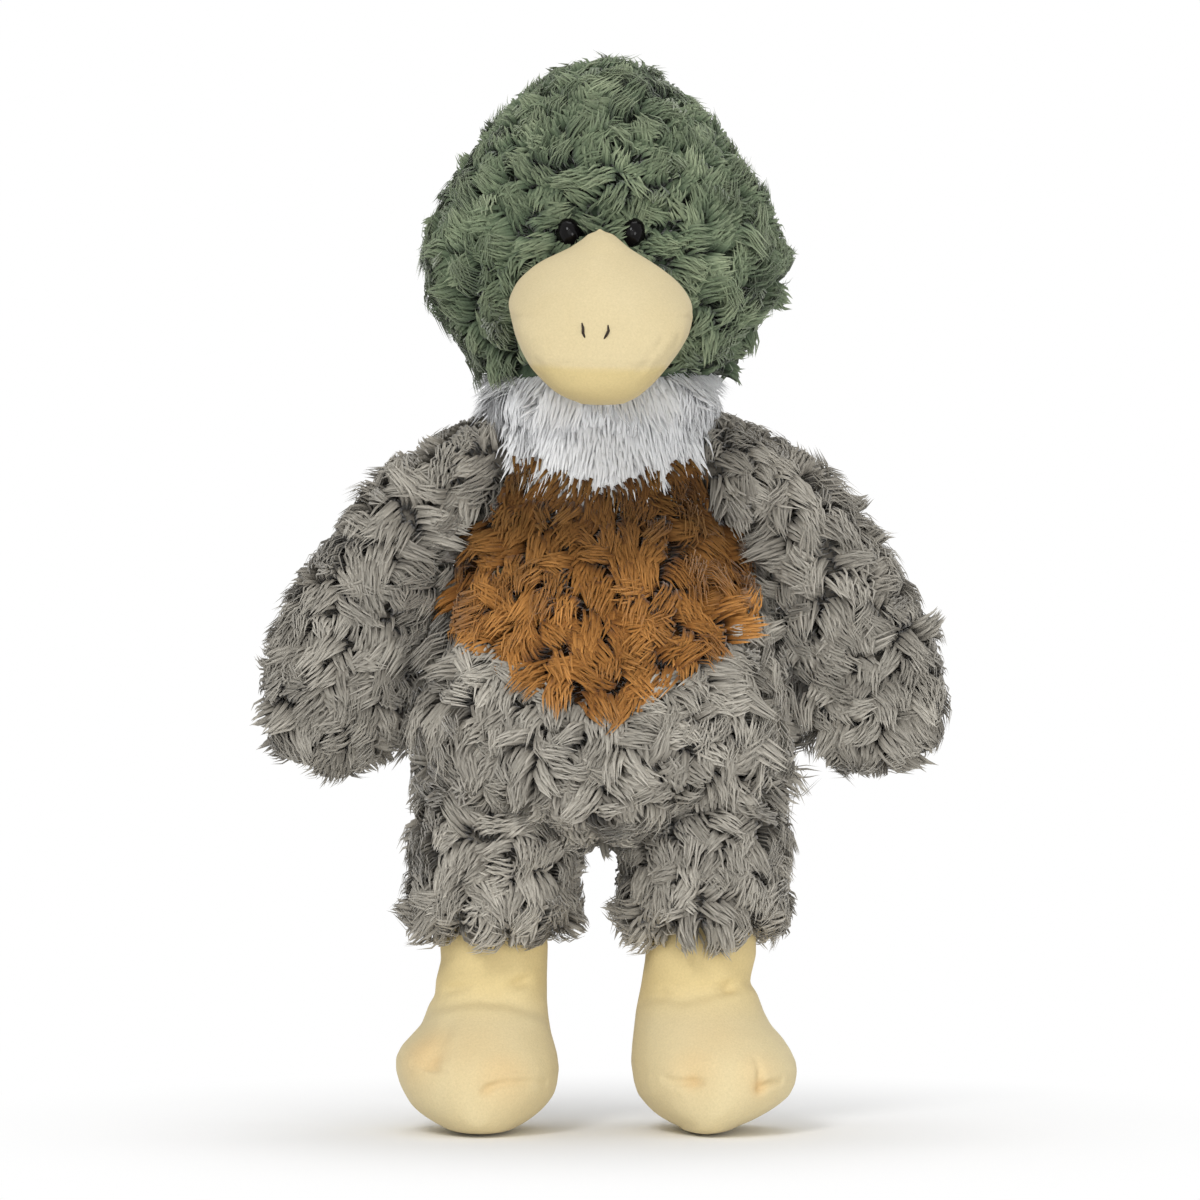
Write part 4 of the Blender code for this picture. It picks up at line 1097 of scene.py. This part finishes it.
def inCup(place):
    return (place - neckPivot).length < hollow["cup"] and place.z < neckPivot.z + domeRadius


def inDome(place):
    return (place - neckPivot).length < hollow["dome"] and place.z > hollow["domeFrom"]


bodyCore = makeCore(
    "bodyCore", ["body_back_panel", "belly_panel", "chest_panel", "neck_collar", "body_fill"], pile["voxel"],
    pile["depth"], lambda place: inHipHollow(place) or inShoulderHollow(place) or inDome(place))
headCore = makeCore(
    "headCore", ["head_panel_left", "head_panel_right", "head_back_panel", "head_fill"], pile["voxel"],
    pile["depth"], inCup)
headShape = {
    "crownFrom": 0.284, "crownOver": 0.02, "crownIn": 0.0030, "crownFlat": 0.012, "crownBackShare": 0.4,
}
for vertex in headCore.data.vertices:
    # the crown narrows under its fur
    place = vertex.co
    high = risen(place.z, headShape["crownFrom"], headShape["crownOver"])
    aside = math.hypot(place.x, place.y - middleY)
    if aside > headShape["crownFlat"]:
        pull = headShape["crownIn"] * high * min(
            1.0, (aside - headShape["crownFlat"]) / headShape["crownFlat"]) / aside
        place.x -= place.x * pull
        place.y -= (place.y - middleY) * pull * headShape["crownBackShare"]
wingCores, legCores = {}, {}
for name, hip in hips.items():
    wingCores[name] = makeCore(
        "wingCore" + name.title(), [part + name for part in ("wing_front_", "wing_back_", "wing_fill_")],
        pile["voxel"], pile["wingDepth"], None)
    legCores[name] = makeCore(
        "legCore" + name.title(), ["leg_skin_" + name, "leg_fill_" + name], pile["legVoxel"],
        pile["legDepth"], lambda place: gapAside(place, hip) < hollow["legRoot"]
        and place.z < ankles[name].z + hollow["legRootHeight"])
tailCore = makeCore("tailCore", ["tail"], pile["tailVoxel"], pile["tailDepth"], None)
tailRoot = {"from": 0.0640, "over": 0.006, "depth": 0.0110}
for vertex in tailCore.data.vertices:
    # its root reaches back to the body's stuffing
    vertex.co.y -= tailRoot["depth"] * clamped((tailRoot["from"] - vertex.co.y) / tailRoot["over"])
print("cores made")

headPanels = ("head_panel_left", "head_panel_right", "head_back_panel")
bodyPanels = {"body_back_panel": brownCloth, "belly_panel": brownCloth, "chest_panel": chestCloth,
              "neck_collar": whiteCloth}
wingPanels = {name: ("wing_front_" + name, "wing_back_" + name) for name in sides}
regionTrees = {
    name: treeOf(meshOf([name]))
    for name in (*bodyPanels, *headPanels, *wingPanels["left"], *wingPanels["right"])}


def keyOf(place):
    return tuple(round(x, 7) for x in place)


def regionsOf(core, names):
    # the panel that lies over each point of a core
    return {
        keyOf(vertex.co): min(names, key=lambda name: regionTrees[name].find_nearest(vertex.co)[3])
        for vertex in core.data.vertices}


def collarEdge(place):
    # the collar's strands start above a shallow V and hang past it
    return 0.1985 + 0.0120 * min(1.0, abs(place.x) / 0.033)


def chestEdge(place):
    return 0.1315 + 0.033 * (abs(place.x) / 0.05) ** 1.5


breast = {"frontOf": middleY - 0.012, "halfWidth": 0.05}
bodyRegions = regionsOf(bodyCore, tuple(bodyPanels))
for vertex in bodyCore.data.vertices:
    place = vertex.co
    if place.y < breast["frontOf"] and abs(place.x) < breast["halfWidth"]:
        here = bodyRegions[keyOf(place)]
        if here == "neck_collar" and place.z < collarEdge(place):
            bodyRegions[keyOf(place)] = "chest_panel"
        elif here == "chest_panel" and place.z < chestEdge(place):
            bodyRegions[keyOf(place)] = "belly_panel"
headRegions = regionsOf(headCore, headPanels)
wingRegions = {name: regionsOf(wingCores[name], wingPanels[name]) for name in sides}
clothSlots = list(dict.fromkeys(bodyPanels.values()))
for material in clothSlots:
    bodyCore.data.materials.append(material)
for face in bodyCore.data.polygons:
    corners = [bodyRegions[keyOf(bodyCore.data.vertices[index].co)] for index in face.vertices]
    face.material_index = clothSlots.index(bodyPanels[max(set(corners), key=corners.count)])
headCore.data.materials.append(greenCloth)
for core in (*wingCores.values(), *legCores.values(), tailCore):
    core.data.materials.append(brownCloth)
ride(bodyCore, "torso", "stuffing", ["body_fill"])
ride(headCore, "head", "stuffing", ["head_fill"])
ride(tailCore, "torso", "stuffing", ["tail_fill"])
for name in sides:
    ride(wingCores[name], "wing_" + name, "stuffing", ["wing_fill_" + name])
    ride(legCores[name], "leg_" + name, "stuffing", ["leg_fill_" + name])

# fur on the head

eyeGap = {
    "across": 0.0040, "along": 0.0056, "tilt": 16, "inFront": 0.004, "combed": 2.4, "combPull": 1.6,
    "short": 0.66, "shortFrom": 1.4, "shortOver": 2.0,
}
billGap = {"slack": 0.0005, "frontOf": middleY - 0.010, "short": 0.5, "shortOver": 0.012}
billMiddle = (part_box("beak_upper")[0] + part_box("beak_upper")[1]) / 2
eyePlaces = {}
for name in sides:
    low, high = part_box("eye_" + name)
    spot = Vector(((low.x + high.x) / 2, low.y + eyeGap["inFront"], (low.z + high.z) / 2))
    eyePlaces[name] = spot + eyeShape["shift"][name]


def insideBill(place):
    spot, normal, _, _ = billTree.find_nearest(place)
    return place.y < billGap["frontOf"] and (place - spot).dot(normal) < billGap["slack"]


def eyeNearness(place):
    # 1 on the edge of a tilted oval round the nearer eye, less within it
    if place.y > middleY:
        return 9.0
    side = "left" if place.x > 0 else "right"
    spot = eyePlaces[side]
    out, up = (place.x - spot.x) * sides[side], place.z - spot.z
    tilt = math.radians(eyeGap["tilt"])
    across = out * math.cos(tilt) - up * math.sin(tilt)
    along = out * math.sin(tilt) + up * math.cos(tilt)
    return math.hypot(across / eyeGap["across"], along / eyeGap["along"])


def headMask(region, half):
    def maskAt(place, normal):
        if headRegions[keyOf(place)] != region or place.x * half < 0 or inCup(place) or insideBill(place):
            return 0.0
        return 1.0 if eyeNearness(place) > 1 else 0.0
    return maskAt


def headComb(place, normal):
    # away from the bill, up over the crown, down behind and toward the eyes close to them
    away = (place - billMiddle).normalized()
    crown = max(0.0, (place.z - 0.29) / 0.04)
    behind = max(0.0, (place.y - middleY) / 0.05)
    lay = away * 0.55 + Vector((0, 0.2, -0.55)) * behind + Vector((place.x * 6, 0.2, 0)) * crown
    near = eyeNearness(place)
    if near < eyeGap["combed"]:
        eye = eyePlaces["left" if place.x > 0 else "right"]
        lay += (eye - place).normalized() * eyeGap["combPull"] * (eyeGap["combed"] - near) / 1.4
    return lay


def headReach(place):
    # the cheeks stand out in long tufts, and the fur is short by the eyes and bill
    nearEye = max(0, eyeNearness(place) - eyeGap["shortFrom"]) / eyeGap["shortOver"]
    reach = min(1.0, eyeGap["short"] + (1 - eyeGap["short"]) * min(1, nearEye))
    gap = billTree.find_nearest(place)[3]
    reach = min(reach, billGap["short"] + (1 - billGap["short"]) * min(1, gap / billGap["shortOver"]))
    cheek = hump(place.z, 0.268, 0.012) * risen(abs(place.x), 0.03, 0.015)
    crown = risen(place.z, 0.285, 0.015) * min(1.0, abs(place.x) / 0.02)
    return reach * (1 + 0.35 * cheek) * (1 - 0.25 * crown)


for label, region, half, replaced in (
    ("headFurLeft", "head_panel_left", 0, ["head_panel_left"]),
    ("headFurRight", "head_panel_right", 0, ["head_panel_right"]),
    ("headFurBackLeft", "head_back_panel", 1, ["head_back_panel"]),
    ("headFurBackRight", "head_back_panel", -1, []),
):
    growFur(
        label, headCore, greenLook, headMask(region, half), headComb, headReach, "head", "green_fur",
        replaced)


# fur on the body

bodyGap = {"cup": domeRadius + 0.006, "cupFrom": neckPivot.z + 0.030, "hip": 0.024, "hipUnder": 0.1}


def downward(place, normal):
    lay = Vector((0.35 * clamped(place.x / 0.03, -1.0), 0, -0.9))
    return lay * (1 + 2.5 * risen(place.z, 0.185, 0.012))


def bodyMask(region, half):
    def maskAt(place, normal):
        if bodyRegions[keyOf(place)] != region or inHipHollow(place) or inShoulderHollow(place):
            return 0.0
        if place.x * half < 0:
            return 0.0
        byCup = (place - neckPivot).length < bodyGap["cup"] and place.z > bodyGap["cupFrom"]
        if region == "neck_collar" and byCup:
            return 0.0
        byHip = any(gapAside(place, hip) < bodyGap["hip"] for hip in hips.values())
        return 0.0 if place.z < bodyGap["hipUnder"] and byHip else 1.0
    return maskAt


def bodyReach(place):
    # longer on the flanks, shorter under the collar and on the shoulders
    flank = risen(abs(place.x), 0.034, 0.012)
    low = hump(place.z, 0.100, 0.014)
    underCollar = risen(place.z, 0.188, 0.010) if place.z < collarEdge(place) else 0.0
    shoulder = risen(place.z, 0.205, 0.015) * flank
    longer = (0.42 * (1 if place.z > 0.1 else 0.5) + 0.35 * low) * flank
    return 1 + longer - 0.3 * underCollar - 0.7 * shoulder


for label, region, half, look, slot in (
    ("bodyFurBackLeft", "body_back_panel", 1, brownLook, "taupe_fur"),
    ("bodyFurBackRight", "body_back_panel", -1, brownLook, "taupe_fur"),
    ("bodyFurBelly", "belly_panel", 0, brownLook, "taupe_fur"),
    ("bodyFurChest", "chest_panel", 0, chestLook, "chest_fur"),
    ("collarFur", "neck_collar", 0, whiteLook, "white_fur"),
):
    replaced = [region] if half != -1 else []
    growFur(label, bodyCore, look, bodyMask(region, half), downward, bodyReach, "torso", slot, replaced)


# fur on wings, legs and tail

def growWing(name, sign):
    def wingComb(place, normal):
        return Vector((sign * 0.35, 0, -0.8))

    def wingMask(region):
        def maskAt(place, normal):
            outside = (place.x - shoulders[name].x) * sign > -0.004
            return 1.0 if outside and wingRegions[name][keyOf(place)] == region else 0.0
        return maskAt

    def wingReach(place):
        inner = math.exp(-max(0.0, (abs(place.x) - 0.062) / 0.008) ** 2)
        return (1 + 0.4 * inner) * (1 - 0.5 * risen(place.z, 0.195, 0.02))

    # both faces of each wing wear the body's fur with painted shade
    for face in ("front", "back"):
        region = "wing_" + face + "_" + name
        growFur(
            "wingFur" + face.title() + name.title(), wingCores[name], shadedWingLook, wingMask(region), wingComb,
            wingReach, "wing_" + name, "taupe_fur", [region])


legGap = {"root": 0.0185, "top": 0.020}


def growLeg(name, sign):
    hip = hips[name]

    def legMask(place, normal):
        if gapAside(place, hip) < legGap["root"] and place.z < hip.z:
            return 0.0
        return 1.0 if place.z < hip.z + legGap["top"] else 0.0

    def legReach(place):
        top = hump(place.z, hip.z + 0.016, 0.010) * clamped((place.x - hip.x) * sign / 0.010)
        return 1 + 0.5 * top + 0.15 * hump(place.z, 0.064, 0.006)

    def legComb(place, normal):
        return downward(place, normal) * (1 - 1.6 * risen(place.z, hip.z + 0.004, 0.012))

    growFur(
        "legFur" + name.title(), legCores[name], legLook, legMask, legComb, legReach, "leg_" + name,
        "taupe_fur", ["leg_skin_" + name])


for grow in (growWing, growLeg):
    for name, sign in sides.items():
        grow(name, sign)
growFur(
    "tailFur", tailCore, tailLook, lambda place, normal: 1.0, lambda place, normal: Vector((0, 0.8, 0.3)),
    lambda place: 1.0, "torso", "taupe_fur", ["tail"])
print("fur grown")


# floor, light and camera

floorLook = {
    "reach": 6.0, "height": -0.0002, "colour": (0.96, 0.96, 0.957, 1), "whiteFrom": 0.06, "whiteTo": 0.24,
}


def seenBy(tree, rays):
    # 1 for the rays that see the white studio, 0 for those that light the object
    path = put(tree, "ShaderNodeLightPath")
    shown = path.outputs[rays[0]]
    for ray in rays[1:]:
        shown = numberMath(tree, "MAXIMUM", shown, path.outputs[ray])
    return shown


def makeFloor():
    mesh = bmesh.new()
    reach = floorLook["reach"]
    mesh.faces.new([
        mesh.verts.new((x * reach, y * reach, floorLook["height"]))
        for x, y in ((-1, -1), (1, -1), (1, 1), (-1, 1))])
    data = bpy.data.meshes.new("floor")
    mesh.to_mesh(data)
    mesh.free()
    made, tree, shader = newMaterial("paleFloor", {
        "Roughness": 0.9, "Specular IOR Level": 0.1, "Base Color": floorLook["colour"]})
    far = mapRange(
        tree, vectorMath(tree, "LENGTH", objectPlace(tree)), floorLook["whiteFrom"], floorLook["whiteTo"],
        0.0, 1.0, interpolation_type="SMOOTHSTEP")
    shown = seenBy(tree, ("Is Camera Ray", "Is Glossy Ray"))
    white = put(tree, "ShaderNodeEmission", {"Color": (1, 1, 1, 1), "Strength": 1.0})
    mixed = put(tree, "ShaderNodeMixShader", {0: numberMath(tree, "MULTIPLY", shown, far)})
    tree.links.new(shader.outputs[0], mixed.inputs[1])
    tree.links.new(white.outputs[0], mixed.inputs[2])
    tree.links.new(mixed.outputs[0], tree.nodes["Material Output"].inputs["Surface"])
    data.materials.append(made)
    linked("floor", data)


def makeLight(name, place, aim, size, power):
    lamp = bpy.data.lights.new(name, "AREA")
    lamp.shape = "DISK"
    lamp.size = size
    lamp.energy = power
    made = linked(name, lamp)
    made.location = place
    made.rotation_mode = "QUATERNION"
    made.rotation_quaternion = (Vector(aim) - Vector(place)).to_track_quat("-Z", "Y")


def makeWorld(strength):
    world = bpy.data.worlds.new("studio")
    bpy.context.scene.world = world
    world.use_nodes = True
    tree = world.node_tree
    background = tree.nodes["Background"]
    shown = seenBy(tree, ("Is Camera Ray", "Is Glossy Ray", "Is Transmission Ray"))
    background.inputs["Color"].default_value = (1, 1, 1, 1)
    tree.links.new(mapRange(tree, shown, 0.0, 1.0, strength, 1.0), background.inputs["Strength"])


def makeCamera():
    eye, back, _, _ = cameraFrame()
    lens = bpy.data.cameras.new("camera")
    made = linked("camera", lens)
    made.location = eye
    made.rotation_mode = "QUATERNION"
    made.rotation_quaternion = (-back).to_track_quat("-Z", "Y")
    lens.sensor_width = 36
    lens.lens = lens.sensor_width * cameraLook["distance"] / cameraLook["seenWidth"]
    lens.clip_start = 0.05
    lens.clip_end = 30
    bpy.context.scene.camera = made


makeFloor()
makeWorld(0.50)
for name, place, aim, size, power in (
    ("keyLight", (-0.55, -1.35, 1.25), (0, 0, 0.16), 0.55, 10.5),
    ("fillLight", (0.75, -1.4, 0.25), (0, 0, 0.16), 0.55, 5.7),
    ("frontLight", (0.0, -1.9, 0.6), (0, 0, 0.14), 1.4, 5.6),
    ("topLight", (0.1, 0.2, 1.6), (0, 0, 0.2), 1.0, 7),
    ("upperSpark", (-0.10, -1.6, 0.95), (0, 0, 0.25), 0.07, 0.8),
    ("lowerSpark", (0.10, -1.6, -0.02), (0, 0, 0.25), 0.05, 0.35),
):
    makeLight(name, place, aim, size, power)
makeCamera()
bpy.context.scene.view_settings.view_transform = "Standard"
print("studio made")
